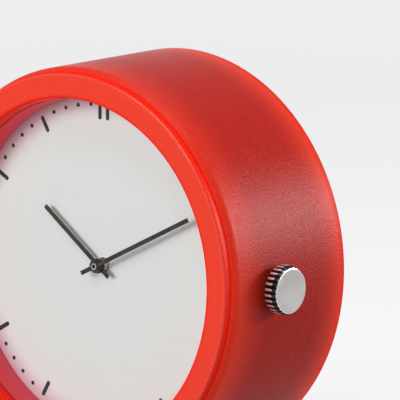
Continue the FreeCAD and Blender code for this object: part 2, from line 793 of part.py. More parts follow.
def screw_group(name, spots, shank_radius, head_radius, head_height, length, head_y):
    """Like screws at several places, kept as one group of separate solids."""
    part = doc.addObject("Part::Feature", name)
    part.Label = name
    numbers = [value.number for value in (shank_radius, head_radius, head_height, length)]
    part.Shape = Part.makeCompound(
        [screw(*numbers, x.number, z.number, head_y.number) for x, z in spots])
    place(part)
    sub_parts.append(part)


# Movement

def arbor_spots():
    return [(intermediate_x, intermediate_z), (rotor_x, rotor_z)]


def movement_front_plate():
    """The base of the movement; the inner plate's hooks hold it by an ear on each side."""
    part = body("movement_front_plate")
    plate = sketch(part, "plate_outline", "XZ_Plane", inner_plate_back)
    inside = movement_half_width
    outside = movement_half_width + ear_length
    half = ear_half_height
    outline(plate, [
        (-inside, -movement_drop), (inside, -movement_drop), (inside, -half), (outside, -half),
        (outside, half), (inside, half), (inside, movement_rise), (-inside, movement_rise),
        (-inside, half), (-outside, half), (-outside, -half), (-inside, -half)])
    pad(part, "plate", plate, movement_plate)
    post = sketch(part, "motion_post_circle", "XZ_Plane", plate_back)
    circle(post, motion_distance, 0, arbor_radius)
    pad(part, "motion_post", post, motion_layer_end - plate_back)
    tongue = sketch(part, "stem_tongue_outline", "XZ_Plane", plate_back)
    rectangle(tongue, movement_half_width - housing_wall + slide_gap,
              movement_half_width - slide_gap, -stem_radius, stem_radius)
    pad(part, "stem_tongue", tongue, crown_depth - plate_back - stem_radius - slide_gap)
    drill(part, "pipe_hole", [(0, 0)], hour_pipe_radius + running_gap,
          inner_plate_back, movement_plate)
    drill(part, "arbor_holes", arbor_spots(), arbor_radius + running_gap,
          inner_plate_back, movement_plate)
    drill(part, "alarm_pivot_hole", [(0, alarm_axis_height)], alarm_pivot_radius + running_gap,
          inner_plate_back, movement_plate)


def movement_housing():
    """The moulded cup over the train; its back carries the rear pivots."""
    part = body("movement_housing")
    block = sketch(part, "block_outline", "XZ_Plane", plate_back)
    rectangle(block, -movement_half_width, movement_half_width, -movement_drop, movement_rise)
    pad(part, "block", block, housing_depth)
    room = sketch(part, "room_outline", "XZ_Plane", plate_back)
    rectangle(room, -movement_half_width + housing_wall, movement_half_width - housing_wall,
              -movement_drop + housing_wall, movement_rise - housing_wall)
    pocket(part, "room", room, housing_depth - housing_back)
    posts = sketch(part, "post_outlines", "XZ_Plane", stator_front + stator_thickness)
    for x, z in board_post_spots() + stator_post_spots():
        rectangle(posts, x - post_half_width, x + post_half_width,
                  z - post_half_width, z + post_half_width)
    pad(part, "posts", posts, housing_floor - stator_front - stator_thickness)
    drill(part, "arbor_holes", [(0, 0)] + arbor_spots(), arbor_radius + running_gap,
          housing_floor, housing_back)
    drill(part, "alarm_shaft_hole", [(0, alarm_axis_height)], alarm_shaft_radius + running_gap,
          housing_floor, housing_back)
    slot = sketch(part, "stem_slot_outline", "YZ_Plane", movement_half_width - housing_wall)
    half = stem_radius + running_gap
    rectangle(slot, plate_back, crown_depth, -half, half)
    pocket(part, "stem_slot", slot, housing_wall)
    end = sketch(part, "stem_slot_end", "YZ_Plane", movement_half_width - housing_wall)
    circle(end, crown_depth, 0, half)
    pocket(part, "stem_bearing", end, housing_wall)


def minute_arbor():
    """The centre arbor: hollow tip for the minute hand, cannon pinion, collar and rear pivot."""
    part = body("minute_arbor", rotation=turned_by(minute_turn))
    tip = -minute_hand_height - minute_boss_height / 2
    blank = tip_radius(gear_module, cannon_teeth)
    collar = minute_pipe_radius + 2 * layer_gap
    revolve(part, "arbor", [
        (0, tip + minute_pipe_bore_depth), (minute_pipe_bore, tip + minute_pipe_bore_depth),
        (minute_pipe_bore, tip), (minute_pipe_radius, tip), (minute_pipe_radius, motion_layer),
        (blank, motion_layer), (blank, motion_layer_end), (minute_pipe_radius, motion_layer_end),
        (minute_pipe_radius, centre_layer_end + running_gap),
        (collar, centre_layer_end + running_gap), (collar, collar_end),
        (arbor_radius, collar_end), (arbor_radius, arbor_end), (0, arbor_end)])
    cut_teeth(part, "cannon_pinion", gear_module, cannon_teeth, "pinion",
              motion_layer, motion_layer_end)


def hour_wheel():
    """The hour wheel on its pipe, with the peg that trips the alarm wheel's notch."""
    part = body("hour_wheel", rotation=turned_by(hour_turn))
    tip = -hour_hand_height - hour_boss_height / 2
    bore = minute_pipe_radius + running_gap
    blank = tip_radius(hour_module, hour_teeth)
    revolve(part, "pipe_and_web", [
        (bore, tip), (hour_pipe_radius, tip), (hour_pipe_radius, hour_layer),
        (blank, hour_layer), (blank, hour_layer + wheel_width), (bore, hour_layer + wheel_width)])
    cut_teeth(part, "hour_teeth_ring", hour_module, hour_teeth, "wheel",
              hour_layer, hour_layer + wheel_width)
    peg_start = alarm_layer + wheel_width + layer_gap
    peg = sketch(part, "peg_outline", "XZ_Plane", peg_start)
    rectangle(peg, cam_radius - cam_peg, cam_radius + cam_peg, -cam_peg, cam_peg)
    pad(part, "peg", peg, hour_layer - peg_start)


def motion_wheel():
    """The motion wheel: its rim meshes with the cannon pinion and its face with the stem."""
    part = body("motion_wheel", motion_distance, rotation=turned_by(motion_turn))
    rim = tip_radius(gear_module, motion_teeth)
    pinion = tip_radius(hour_module, motion_pinion_teeth)
    pinion_start = hour_layer - layer_gap
    hub_start = plate_back + layer_gap / 2
    ring_bore = rim - contrate_width
    bore = arbor_radius + running_gap
    revolve(part, "blank", [
        (bore, hub_start), (motion_hub_radius, hub_start), (motion_hub_radius, pinion_start),
        (pinion, pinion_start), (pinion, motion_layer), (ring_bore, motion_layer),
        (ring_bore, contrate_tip), (rim, contrate_tip), (rim, motion_layer_end),
        (bore, motion_layer_end)])
    cut_teeth(part, "pinion_leaves", hour_module, motion_pinion_teeth, "pinion",
              pinion_start, contrate_tip)
    cut_teeth(part, "rim_teeth", gear_module, motion_teeth, "wheel",
              contrate_tip, motion_layer_end)
    pitch_line = (1 - TOOTH_SHARE["wheel"]) * math.pi * gear_module / 2
    slope = math.tan(math.radians(TIP_FLANK["wheel"]))
    at_tip = pitch_line + addendum * gear_module * slope
    at_root = pitch_line - dedendum * gear_module * slope
    gap = sketch(part, "face_space", "YZ_Plane", ring_bore - layer_gap)
    outline(gap, [(contrate_tip, -at_tip), (contrate_tip, at_tip),
                  (motion_layer, at_root), (motion_layer, -at_root)])
    space = pocket(part, "face_space_first", gap, contrate_width + 2 * layer_gap)
    polar(part, "face_teeth", space, motion_teeth)


def clutch_spring():
    """The spring washer that lets the hands be set while the train stands still."""
    part = body("clutch_spring")
    tube(part, "washer", minute_pipe_radius + 4 * layer_gap, minute_pipe_radius,
         motion_layer_end, clutch_end)


def centre_wheel():
    """The driven wheel of the train, held on the centre arbor by the clutch spring."""
    part = body("centre_wheel", rotation=turned_by(centre_turn))
    tube(part, "web", tip_radius(gear_module, centre_teeth), minute_pipe_radius + running_gap,
         centre_layer, centre_layer_end)
    cut_teeth(part, "centre_teeth_ring", gear_module, centre_teeth, "wheel",
              centre_layer, centre_layer_end)


def intermediate_wheel():
    part = body("intermediate_wheel", intermediate_x, intermediate_z, turned_by(intermediate_turn))
    rim = tip_radius(gear_module, intermediate_teeth)
    pinion = tip_radius(gear_module, intermediate_pinion_teeth)
    pinion_start = centre_layer - layer_gap
    revolve(part, "blank", [
        (0, arbor_start), (arbor_radius, arbor_start), (arbor_radius, pinion_start),
        (pinion, pinion_start), (pinion, intermediate_layer), (rim, intermediate_layer),
        (rim, intermediate_layer_end), (arbor_radius, intermediate_layer_end),
        (arbor_radius, arbor_end), (0, arbor_end)])
    cut_teeth(part, "pinion_leaves", gear_module, intermediate_pinion_teeth, "pinion",
              pinion_start, intermediate_layer)
    cut_teeth(part, "rim_teeth", gear_module, intermediate_teeth, "wheel",
              intermediate_layer, intermediate_layer_end)


def rotor_pinion():
    """The rotor's arbor with its six-leaf pinion."""
    part = body("rotor_pinion", rotor_x, rotor_z, turned_by(rotor_turn))
    pinion = tip_radius(gear_module, rotor_teeth)
    start = intermediate_layer - layer_gap
    end = intermediate_layer_end + layer_gap
    revolve(part, "blank", [
        (0, arbor_start), (arbor_radius, arbor_start), (arbor_radius, start), (pinion, start),
        (pinion, end), (arbor_radius, end), (arbor_radius, arbor_end), (0, arbor_end)])
    cut_teeth(part, "pinion_leaves", gear_module, rotor_teeth, "pinion", start, end)


def rotor_magnet():
    part = body("rotor_magnet", rotor_x, rotor_z)
    tube(part, "ring", magnet_radius, arbor_radius, magnet_front, magnet_front + magnet_thickness)


def stator_bore():
    return magnet_radius + stator_gap


def stator_post_spots():
    """Where the stator is held: beside its bore and at its upper corner."""
    x = rotor_x + stator_half_width - post_half_width
    return [(x, rotor_z - stator_half_width + post_half_width),
            (x, rotor_z + stator_rise - stator_leg_width / 2)]


def stator():
    """The soft-iron yoke: a plate round the rotor and a long leg up to the coil's far end."""
    part = body("stator")
    left = rotor_x - stator_half_width
    right = rotor_x + stator_half_width
    low = rotor_z - stator_half_width
    shelf = rotor_z + stator_half_width
    high = rotor_z + stator_rise
    yoke = sketch(part, "yoke_outline", "XZ_Plane", stator_front)
    outline(yoke, [
        (left, low), (right, low), (right, high), (left, high), (left, high - stator_leg_width),
        (right - stator_leg_width, high - stator_leg_width), (right - stator_leg_width, shelf),
        (left, shelf)])
    pad(part, "yoke", yoke, stator_thickness)
    drill(part, "rotor_bore", [(rotor_x, rotor_z)], stator_bore(), stator_front, stator_thickness)


def coil_x():
    return rotor_x - stator_half_width + coil_radius + running_gap


def coil_core():
    """The coil's iron bar, lying on the two arms of the yoke."""
    part = body("coil_core")
    bar = sketch(part, "bar_outline", "XZ_Plane", stator_front - coil_core_thickness)
    rectangle(bar, coil_x() - coil_core_half_width, coil_x() + coil_core_half_width,
              rotor_z + stator_half_width - coil_core_half_width,
              rotor_z + stator_rise - coil_core_half_width)
    pad(part, "bar", bar, coil_core_thickness)


def coil_winding():
    """The wound copper between the coil's ends, as one sleeve round its core."""
    low = rotor_z + coil_end_room + coil_end_room / 2
    high = rotor_z + stator_rise - coil_end_room
    middle = stator_front - coil_core_thickness / 2
    winding = doc.addObject("Part::Cylinder", "winding")
    bind(winding, "Radius", coil_radius)
    bind(winding, "Height", high - low)
    core = doc.addObject("Part::Box", "winding_core")
    bind(core, "Length", 2 * coil_core_half_width)
    bind(core, "Width", coil_core_thickness)
    bind(core, "Height", high - low)
    bind(core, "Placement.Base.x", -coil_core_half_width)
    bind(core, "Placement.Base.y", -coil_core_thickness / 2)
    part = doc.addObject("Part::Cut", "coil_winding")
    part.Label = "coil_winding"
    part.Base = winding
    part.Tool = core
    place(part, coil_x(), low)
    bind(part, "Placement.Base.y", middle - case_depth / 2 - bezel_front)
    sub_parts.append(part)


def board_left():
    return movement_half_width - housing_wall - board_side_gap - board_width


def board_low():
    return -movement_drop + housing_wall + board_side_gap


def board_post_spots():
    z = board_low() + board_height / 2
    return [(board_left() + 2 * post_half_width, z),
            (board_left() + board_width - 2 * post_half_width, z)]


def box_piece(name, x, z, y, length, width, height):
    """A plain moulded or cut block, placed by its lowest corner."""
    part = doc.addObject("Part::Box", name)
    part.Label = name
    bind(part, "Length", length)
    bind(part, "Width", width)
    bind(part, "Height", height)
    place(part, x, z)
    bind(part, "Placement.Base.y", y - case_depth / 2 - bezel_front)
    sub_parts.append(part)


def electronics():
    """The small board with its chip and the can of the crystal."""
    box_piece("circuit_board", board_left(), board_low(), stator_front,
              board_width, stator_thickness, board_height)
    middle = board_left() + board_width / 3
    box_piece("controller_chip", middle - chip_half_width,
              board_low() + board_height / 2 - chip_half_width, stator_front - chip_height,
              2 * chip_half_width, chip_height, 2 * chip_half_width)
    can = doc.addObject("Part::Cylinder", "quartz_crystal")
    can.Label = "quartz_crystal"
    bind(can, "Radius", crystal_radius)
    bind(can, "Height", crystal_length)
    place(can, board_left() + board_width - 3 * crystal_radius, board_low() + board_height / 4)
    bind(can, "Placement.Base.y", stator_front - crystal_radius - case_depth / 2 - bezel_front)
    sub_parts.append(can)


# Alarm

def alarm_wheel():
    """The alarm wheel, turning on the hour pipe; its notch catches the hour wheel's peg."""
    part = body("alarm_wheel", rotation=turned_by(alarm_turn))
    end = alarm_layer + wheel_width
    tube(part, "web", tip_radius(alarm_module, alarm_teeth), hour_pipe_radius + running_gap,
         alarm_layer, end)
    cut_teeth(part, "alarm_teeth_ring", alarm_module, alarm_teeth, "wheel", alarm_layer, end)
    notch = sketch(part, "notch_outline", "XZ_Plane", alarm_layer)
    half = cam_peg + layer_gap
    rectangle(notch, -cam_radius - half, -cam_radius + half, -half, half)
    pocket(part, "notch", notch, wheel_width)


def alarm_shaft():
    """The alarm shaft, from its gear behind the dial to the knob on the back."""
    part = body("alarm_shaft", 0, alarm_axis_height, turned_by(alarm_shaft_turn))
    blank = tip_radius(alarm_module, alarm_teeth)
    end = cover_rear + knob_gap + knob_thickness / 2
    revolve(part, "shaft", [
        (0, arbor_start), (alarm_pivot_radius, arbor_start), (alarm_pivot_radius, alarm_layer),
        (blank, alarm_layer), (blank, alarm_layer + wheel_width),
        (alarm_shaft_radius, alarm_layer + wheel_width), (alarm_shaft_radius, end), (0, end)])
    cut_teeth(part, "alarm_shaft_teeth", alarm_module, alarm_teeth, "wheel",
              alarm_layer, alarm_layer + wheel_width)


def alarm_knob():
    """The fluted setting knob, sunk within the drum's rear rim, with a raised pointer."""
    part = body("alarm_knob", 0, alarm_axis_height)
    start = cover_rear + knob_gap
    end = start + knob_thickness
    revolve(part, "disc", [
        (0, start + knob_thickness / 2), (alarm_shaft_radius, start + knob_thickness / 2),
        (alarm_shaft_radius, start), (knob_radius, start), (knob_radius, end), (0, end)])
    flute = sketch(part, "flute_outline", "XZ_Plane", start)
    half = knob_flute / 2
    outline(flute, [(knob_radius - half, -half), (knob_radius + half, -knob_flute),
                    (knob_radius + half, knob_flute), (knob_radius - half, half)])
    polar(part, "flutes", pocket(part, "first_flute", flute, knob_thickness), knob_flutes)
    pointer = sketch(part, "pointer_outline", "XZ_Plane", end)
    outline(pointer, [(-scale_mark_width, 0), (scale_mark_width, 0), (0, knob_radius - knob_flute)])
    pad(part, "pointer", pointer, scale_mark_height)


def alarm_switch():
    """The sliding alarm switch: thumb button, neck in the slot and guide plate inside."""
    part = body("alarm_switch")
    plate = sketch(part, "plate_outline", "XZ_Plane",
                   cover_front - switch_plate_thickness - slide_gap)
    rectangle(plate, control_offset - switch_plate_half_width,
              control_offset + switch_plate_half_width,
              control_height - switch_plate_half_height,
              control_height + switch_plate_half_height)
    pad(part, "plate", plate, switch_plate_thickness)
    neck = sketch(part, "neck_outline", "XZ_Plane", cover_front - slide_gap)
    rectangle(neck, control_offset - switch_neck_half_width, control_offset + switch_neck_half_width,
              control_height - switch_neck_half_height, control_height + switch_neck_half_height)
    pad(part, "neck", neck, cover_thickness + 2 * slide_gap)
    button = sketch(part, "button_outline", "XZ_Plane", cover_rear + slide_gap)
    rectangle(button, control_offset - switch_button_half_width,
              control_offset + switch_button_half_width,
              control_height - switch_button_half_height,
              control_height + switch_button_half_height)
    pad(part, "button", button, switch_button_height)
    for index in (-1, 0, 1):
        groove = sketch(part, "grip_outline_%d" % (index + 1), "XZ_Plane",
                        cover_rear + slide_gap + switch_button_height - door_sink)
        x = control_offset + index * switch_neck_half_width
        rectangle(groove, x - door_gap, x + door_gap, control_height - switch_button_half_height,
                  control_height + switch_button_half_height)
        pocket(part, "grip_%d" % (index + 1), groove, door_sink)


def buzzer():
    """The round sounder, bonded to the cover behind the sound holes."""
    part = body("buzzer", -control_offset, control_height)
    front = cover_front - buzzer_thickness
    revolve(part, "can", [
        (0, front), (buzzer_radius, front), (buzzer_radius, cover_front), (0, cover_front)])


# Crown

def on_crown_axis(part):
    bind(part, "Placement.Base.y", crown_depth - case_depth / 2 - bezel_front)


def crown():
    """The polished crown: a bevelled grey face and a rim of deep knurls."""
    part = body("crown", rotation=along_x())
    on_crown_axis(part)
    inner = case_radius + crown_stand
    outer = inner + crown_thickness
    bore_end = inner + stem_grip
    revolve(part, "head", [
        (0, bore_end), (stem_radius, bore_end), (stem_radius, inner),
        (crown_radius, inner), (crown_radius, outer - crown_bevel),
        (crown_face_radius, outer), (0, outer)])
    notch = sketch(part, "knurl_outline", "XZ_Plane", inner)
    half = crown_groove / 2
    outline(notch, [(crown_radius - crown_groove, 0), (crown_radius + half, -half - half / 2),
                    (crown_radius + half, half + half / 2)])
    polar(part, "knurls", pocket(part, "first_knurl", notch, crown_thickness - crown_bevel),
          crown_ribs)


def crown_stem():
    """The steel stem; its inner pinion drives the face teeth of the motion wheel."""
    part = body("crown_stem", rotation=along_x(crown_turn))
    on_crown_axis(part)
    start = motion_distance + tip_radius(gear_module, motion_teeth) - contrate_width \
        - stem_pinion_overlap
    pinion_end = start + stem_pinion_length
    blank = tip_radius(gear_module, crown_pinion_teeth)
    end = case_radius + crown_stand + stem_grip
    revolve(part, "rod", [
        (0, start), (blank, start), (blank, pinion_end), (stem_radius, pinion_end),
        (stem_radius, end), (0, end)])
    cut_teeth(part, "pinion_leaves", gear_module, crown_pinion_teeth, "pinion", start, pinion_end)


# Hands

def hand(name, angle, height, length, tail, width, boss_radius, boss_height, pipe_radius):
    """A straight square-ended hand with a round boss pressed on its pipe."""
    part = body(name, rotation=FreeCAD.Rotation(FreeCAD.Vector(0, 1, 0), angle.number))
    tube(part, "boss", boss_radius, pipe_radius,
         -height - boss_height / 2, -height + boss_height / 2)
    blade = sketch(part, "blade_outline", "XZ_Plane", -height - hand_thickness / 2)
    rectangle(blade, -width / 2, width / 2, -tail, length)
    pad(part, "blade", blade, hand_thickness)
    drill(part, "pipe_hole", [(0, 0)], pipe_radius, -height - boss_height / 2, boss_height)


case_sleeve()
front_bezel()
lens()
dial_spacer_ring()
dial()
inner_plate()
rear_cover()
battery_door()
battery()
battery_spring()
battery_contact()
screw_group("cover_screws", post_spots(), cover_screw_radius, screw_head_radius,
            screw_head_height, cover_screw_length, cover_rear)
movement_front_plate()
movement_housing()
minute_arbor()
hour_wheel()
motion_wheel()
clutch_spring()
centre_wheel()
intermediate_wheel()
rotor_pinion()
rotor_magnet()
stator()
coil_core()
coil_winding()
electronics()
alarm_wheel()
alarm_shaft()
alarm_knob()
alarm_switch()
buzzer()
crown()
crown_stem()
hand("minute_hand", minute_hand_angle, minute_hand_height, minute_hand_length, minute_hand_tail,
     minute_hand_width, minute_boss_radius, minute_boss_height, minute_pipe_radius)
hand("hour_hand", hour_hand_angle, hour_hand_height, hour_hand_length, hour_hand_tail,
     hour_hand_width, hour_boss_radius, hour_boss_height, hour_pipe_radius)
doc.recompute()


# Checks, then one file for each piece

faults = []
for thing in doc.Objects:
    if "Invalid" in thing.State or "Error" in thing.State:
        faults.append("%s is %s" % (thing.Label, thing.State))
    if thing.TypeId in ("PartDesign::Pocket", "PartDesign::Groove"):
        removed = thing.BaseFeature.Shape.Volume - thing.Shape.Volume
        if removed < 1e-4:
            faults.append("%s of %s cuts nothing" % (thing.Name, thing.getParentGeoFeatureGroup().Label))
for part in sub_parts:
    if part.Shape.isNull() or not part.Shape.isValid():
        faults.append("%s has no valid shape" % part.Label)
if faults:
    raise RuntimeError("; ".join(faults))
for part in sub_parts:
    part.Shape.exportStep("parts/%s.step" % part.Label)
print("%d pieces" % len(sub_parts))
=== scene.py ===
import bmesh
import bpy
import math
from mathutils import Matrix, Vector


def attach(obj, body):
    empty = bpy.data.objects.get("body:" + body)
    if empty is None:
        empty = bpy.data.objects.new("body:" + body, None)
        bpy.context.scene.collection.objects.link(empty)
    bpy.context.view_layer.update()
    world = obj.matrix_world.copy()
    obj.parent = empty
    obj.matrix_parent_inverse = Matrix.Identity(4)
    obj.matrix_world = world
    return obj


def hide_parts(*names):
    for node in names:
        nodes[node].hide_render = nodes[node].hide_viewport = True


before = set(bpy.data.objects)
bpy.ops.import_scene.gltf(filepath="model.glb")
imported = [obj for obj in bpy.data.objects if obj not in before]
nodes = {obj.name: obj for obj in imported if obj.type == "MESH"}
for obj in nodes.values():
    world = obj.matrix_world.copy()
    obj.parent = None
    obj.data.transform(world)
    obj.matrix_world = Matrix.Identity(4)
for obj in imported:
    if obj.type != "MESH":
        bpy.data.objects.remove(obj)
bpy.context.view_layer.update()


# ---------------------------------------------------------------------------------------
# Drum
# A tube moulded in clear red plastic with a frosted skin, rounded at both ends and cut to a
# flat sole. Some light really passes through its free wall behind the rear cover; its brighter
# front rim and rear band are painted glow, a lighter colour and a faint emission at the ends.

MM = 0.001
AXIS = Vector((0.0, -0.01155, 0.052915))        # a point of the drum's axis, in metres
DRUM_RADIUS, DRUM_BORE, DRUM_FRONT, DRUM_BACK = 55.0, 53.7, -10.2, 35.8
SOLE_OUTSIDE, SOLE_INSIDE, SOLE_STEP = 52.915, 51.415, 53.95
STEM_PLACE, STEM_HOLE = 7.0, 1.1
FLAT_FACE = 0.99999         # a face this square to an axis is shaded flat
WELD, WELD_CAD = 1e-7, 1e-6     # metres within which two points become one


class Socket:
    """One output of a shader node, with arithmetic that adds the nodes it needs."""

    def __init__(self, paint, link):
        self.paint = paint
        self.link = link

    def maths(self, operation, *others):
        return self.paint.node("ShaderNodeMath", {"operation": operation}, self, *others)

    def __add__(self, other):
        return self.maths("ADD", other)

    def __radd__(self, other):
        return self.maths("ADD", other)

    def __sub__(self, other):
        return self.maths("SUBTRACT", other)

    def __rsub__(self, other):
        return self.paint.node("ShaderNodeMath", {"operation": "SUBTRACT"}, other, self)

    def __mul__(self, other):
        return self.maths("MULTIPLY", other)

    def __rmul__(self, other):
        return self.maths("MULTIPLY", other)

    def __truediv__(self, other):
        return self.maths("DIVIDE", other)

    def __pow__(self, other):
        return self.maths("POWER", other)

    def between(self, low, high):
        """0 at low, 1 at high, smooth in between."""
        settings = {"interpolation_type": "SMOOTHSTEP"}
        return self.paint.node("ShaderNodeMapRange", settings, self, low, high, 0.0, 1.0)


class Paint:
    """One procedural material, built round a Principled shader."""

    def __init__(self, name, color, roughness, **constants):
        self.material = bpy.data.materials.new(name)
        self.material.use_nodes = True
        self.tree = self.material.node_tree
        self.shader = self.tree.nodes["Principled BSDF"]
        self.set("Base Color", color)
        self.set("Roughness", roughness)
        for key, value in constants.items():
            self.set(key.replace("_", " "), value)

    def fill(self, socket, value):
        """Link a socket to a value from other nodes, or write a plain value in it."""
        if isinstance(value, Socket):
            self.tree.links.new(value.link, socket)
        elif isinstance(value, tuple) and len(value) == 3 and socket.type == "RGBA":
            socket.default_value = (*value, 1.0)
        else:
            socket.default_value = value

    def set(self, name, value):
        self.fill(self.shader.inputs[name], value)

    def node(self, kind, settings, *values, output=0, **named):
        """Add a node: its settings first, then its inputs in order or by name."""
        node = self.tree.nodes.new(kind)
        for key, value in settings.items():
            setattr(node, key, value)
        by_name = [(key.replace("_", " "), value) for key, value in named.items()]
        for key, value in list(enumerate(values)) + by_name:
            if value is not None:
                self.fill(node.inputs[key], value)
        return Socket(self, node.outputs[output])

    def place(self, centre=(0.0, 0.0, 0.0)):
        """Object coordinates in millimetres, from a centre given in metres."""
        here = self.node("ShaderNodeTexCoord", {}, output="Object")
        return self.node("ShaderNodeMapping", {"vector_type": "TEXTURE"}, here,
                         tuple(centre), None, (MM, MM, MM))

    def axes(self, vector):
        """The three numbers of a vector."""
        split = self.tree.nodes.new("ShaderNodeSeparateXYZ")
        self.tree.links.new(vector.link, split.inputs[0])
        return [Socket(self, output) for output in split.outputs]

    def radius(self, vector, axis="Y"):
        """Distance from the named axis, in the vector's own unit."""
        first, second = [part for part, name in zip(self.axes(vector), "XYZ") if name != axis]
        return (first * first + second * second) ** 0.5

    def noise(self, vector, scale, detail=2.0, roughness=0.5):
        return self.node("ShaderNodeTexNoise", {}, Vector=vector, Scale=scale, Detail=detail,
                         Roughness=roughness)

    def mix(self, factor, first, second):
        """Blend two colours."""
        return self.node("ShaderNodeMix", {"data_type": "RGBA"}, factor, None, None, None, None,
                         None, first, second, output=2)

    def blend_with(self, other, share):
        """Mix a second shader over the first, by a share that may vary."""
        blend = self.node("ShaderNodeMixShader", {}, share, Socket(self, self.shader.outputs[0]),
                          other)
        self.tree.links.new(blend.link, self.tree.nodes["Material Output"].inputs["Surface"])

    def bump(self, height, distance, strength=1.0):
        """Height is 0 to 1 and distance its depth in metres."""
        normal = self.node("ShaderNodeBump", {}, Strength=strength, Distance=distance,
                           Height=height)
        self.set("Normal", normal)

    def painted_glow(self, share, color, elsewhere=(0.0, 0.0, 0.0)):
        """Painted glow: a faint emission standing in for light through clear plastic."""
        self.set("Emission Color", self.mix(share, elsewhere, color))
        self.set("Emission Strength", 1.0)


def frosted_red(name, deep, bright, skin=0.00014):
    """Red plastic with the fine matt skin of a spark-eroded mould, skin metres deep."""
    paint = Paint(name, deep, 0.38, Specular_IOR_Level=0.08)
    here = paint.place(AXIS)
    grain = paint.noise(here, 2.2, 2.0, 0.6)
    speck = grain.between(0.34, 0.66)
    paint.set("Roughness", 0.27 + grain * 0.14)
    paint.bump(grain, skin, 0.9)
    cloud = paint.noise(here, 0.08, 2.0)
    paint.mottled = paint.mix(cloud * 0.3 + speck * 0.7, deep, bright)
    paint.set("Base Color", paint.mottled)
    return paint, here


def finish_piece(piece, paint, body, slot, *replaced, smooth=30.0):
    """Give a finished mesh its material and its place in the assembly."""
    piece.data.materials.clear()
    piece.data.materials.append(paint.material)
    if smooth:
        for face in piece.data.polygons:
            face.use_smooth = max(abs(part) for part in face.normal) < FLAT_FACE
        mark_sharp(piece.data, smooth)
    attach(piece, body)
    if replaced:
        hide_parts(*replaced)


def mark_sharp(mesh, degrees):
    """Keep edges that turn by more than this many degrees crisp."""
    work = bmesh.new()
    work.from_mesh(mesh)
    for edge in work.edges:
        if len(edge.link_faces) == 2:
            edge.smooth = edge.calc_face_angle() < math.radians(degrees)
    work.to_mesh(mesh)
    work.free()


def add_mesh(name, work):
    """Turn a bmesh into an object, its doubles merged and its normals recalculated."""
    bmesh.ops.remove_doubles(work, verts=work.verts, dist=WELD)
    bmesh.ops.recalc_face_normals(work, faces=work.faces)
    mesh = bpy.data.meshes.new(name)
    work.to_mesh(mesh)
    work.free()
    piece = bpy.data.objects.new(name, mesh)
    bpy.context.scene.collection.objects.link(piece)
    return piece


def rounded(corners, steps=6):
    """A profile from (radius, y, rounding) corners, with each rounding drawn as an arc."""
    points = []
    count = len(corners)
    for index, (r, y, rounding) in enumerate(corners):
        corner = Vector((r, y))
        before = Vector(corners[index - 1][:2]) - corner
        after = Vector(corners[(index + 1) % count][:2]) - corner
        if rounding <= 0.0:
            points.append(corner)
            continue
        half = before.angle(after) / 2
        reach = rounding / math.tan(half)
        start = corner + before.normalized() * reach
        end = corner + after.normalized() * reach
        middle = corner + (before.normalized() + after.normalized()).normalized() \
            * (rounding / math.sin(half))
        first, last = start - middle, end - middle
        for step in range(steps + 1):
            share = step / steps
            arm = first.slerp(last, share).normalized() * rounding
            points.append(middle + arm)
    return points


def lathe(name, profile, centre=AXIS, along="Y", segments=360, trim=None):
    """Turn a (radius, place) profile in millimetres round an axis through centre."""
    work = bmesh.new()
    rings = []
    for r, place in profile:
        ring = []
        for index in range(segments if r > 0 else 1):
            angle = 2 * math.pi * (index + 0.5) / segments
            x, z = trim(r, place, angle) if trim else (r * math.sin(angle), r * math.cos(angle))
            spot = (x, place, z) if along == "Y" else (place, x, z)
            ring.append(work.verts.new(centre + Vector(spot) * MM))
        rings.append(ring)
    for near, far in zip(rings, rings[1:] + rings[:1]):
        for index in range(segments):
            follower = (index + 1) % segments
            corners = [near[index % len(near)], near[follower % len(near)],
                       far[follower % len(far)], far[index % len(far)]]
            corners = list(dict.fromkeys(corners))
            if len(corners) > 2:
                work.faces.new(corners)
    return add_mesh(name, work)


def flat_below(outside, inside, between):
    """Trim a ring flat at its foot: outer faces at one level, inner faces at another."""
    def trim(r, place, angle):
        level = outside if r > between else inside
        return r * math.sin(angle), max(r * math.cos(angle), -level)
    return trim


def cut_away(piece, cutter):
    """Take the cutter's volume out of a piece, and keep the result as a plain mesh."""
    modifier = piece.modifiers.new("cut", "BOOLEAN")
    modifier.object = cutter
    modifier.solver = "EXACT"
    bpy.context.view_layer.update()
    shape = piece.evaluated_get(bpy.context.evaluated_depsgraph_get())
    mesh = bpy.data.meshes.new_from_object(shape)
    piece.modifiers.clear()
    piece.data = mesh
    bpy.data.objects.remove(cutter)


drum = lathe("drum", rounded([
    (53.62, DRUM_FRONT, 0.08), (54.15, DRUM_FRONT, 0.35), (DRUM_RADIUS, -8.6, 3.0),
    (DRUM_RADIUS, DRUM_BACK, 0.55), (DRUM_BORE, DRUM_BACK, 0.5)]),
    trim=flat_below(SOLE_OUTSIDE, SOLE_INSIDE, SOLE_STEP))
crown_centre = AXIS + Vector((0.0, STEM_PLACE, 0.0)) * MM
cut_away(drum, lathe("stem_hole", [(0, 50.0), (STEM_HOLE, 50.0), (STEM_HOLE, 56.0), (0, 56.0)],
                     crown_centre, along="X", segments=64))
drum_red, here = frosted_red("frosted_red", (0.39, 0.009, 0.005), (0.57, 0.025, 0.014))
drum_red.set("Sheen Weight", 0.14)
drum_red.set("Sheen Roughness", 0.32)
depth = drum_red.axes(here)[1]
# Painted glow: lighter base colour towards the rear rim, faint emission at the front and rear.
rear_painted_glow = depth.between(23.0, 35.6)
front = 1 - depth.between(DRUM_FRONT, 6.0)
drum_red.set("Base Color", drum_red.mix(rear_painted_glow, drum_red.mottled, (0.72, 0.036, 0.018)))
drum_red.painted_glow(front * 0.85 + front ** 8 * 0.12 + rear_painted_glow ** 4 * 0.7, (0.26, 0.014, 0.004))
clear = drum_red.node("ShaderNodeBsdfRefraction", {}, Color=(0.98, 0.24, 0.12), Roughness=0.45,
                      IOR=1.12)
drum_red.blend_with(clear, depth.between(33.3, 34.8) * 0.5)
finish_piece(drum, drum_red, "case", "red_plastic", "case_sleeve")
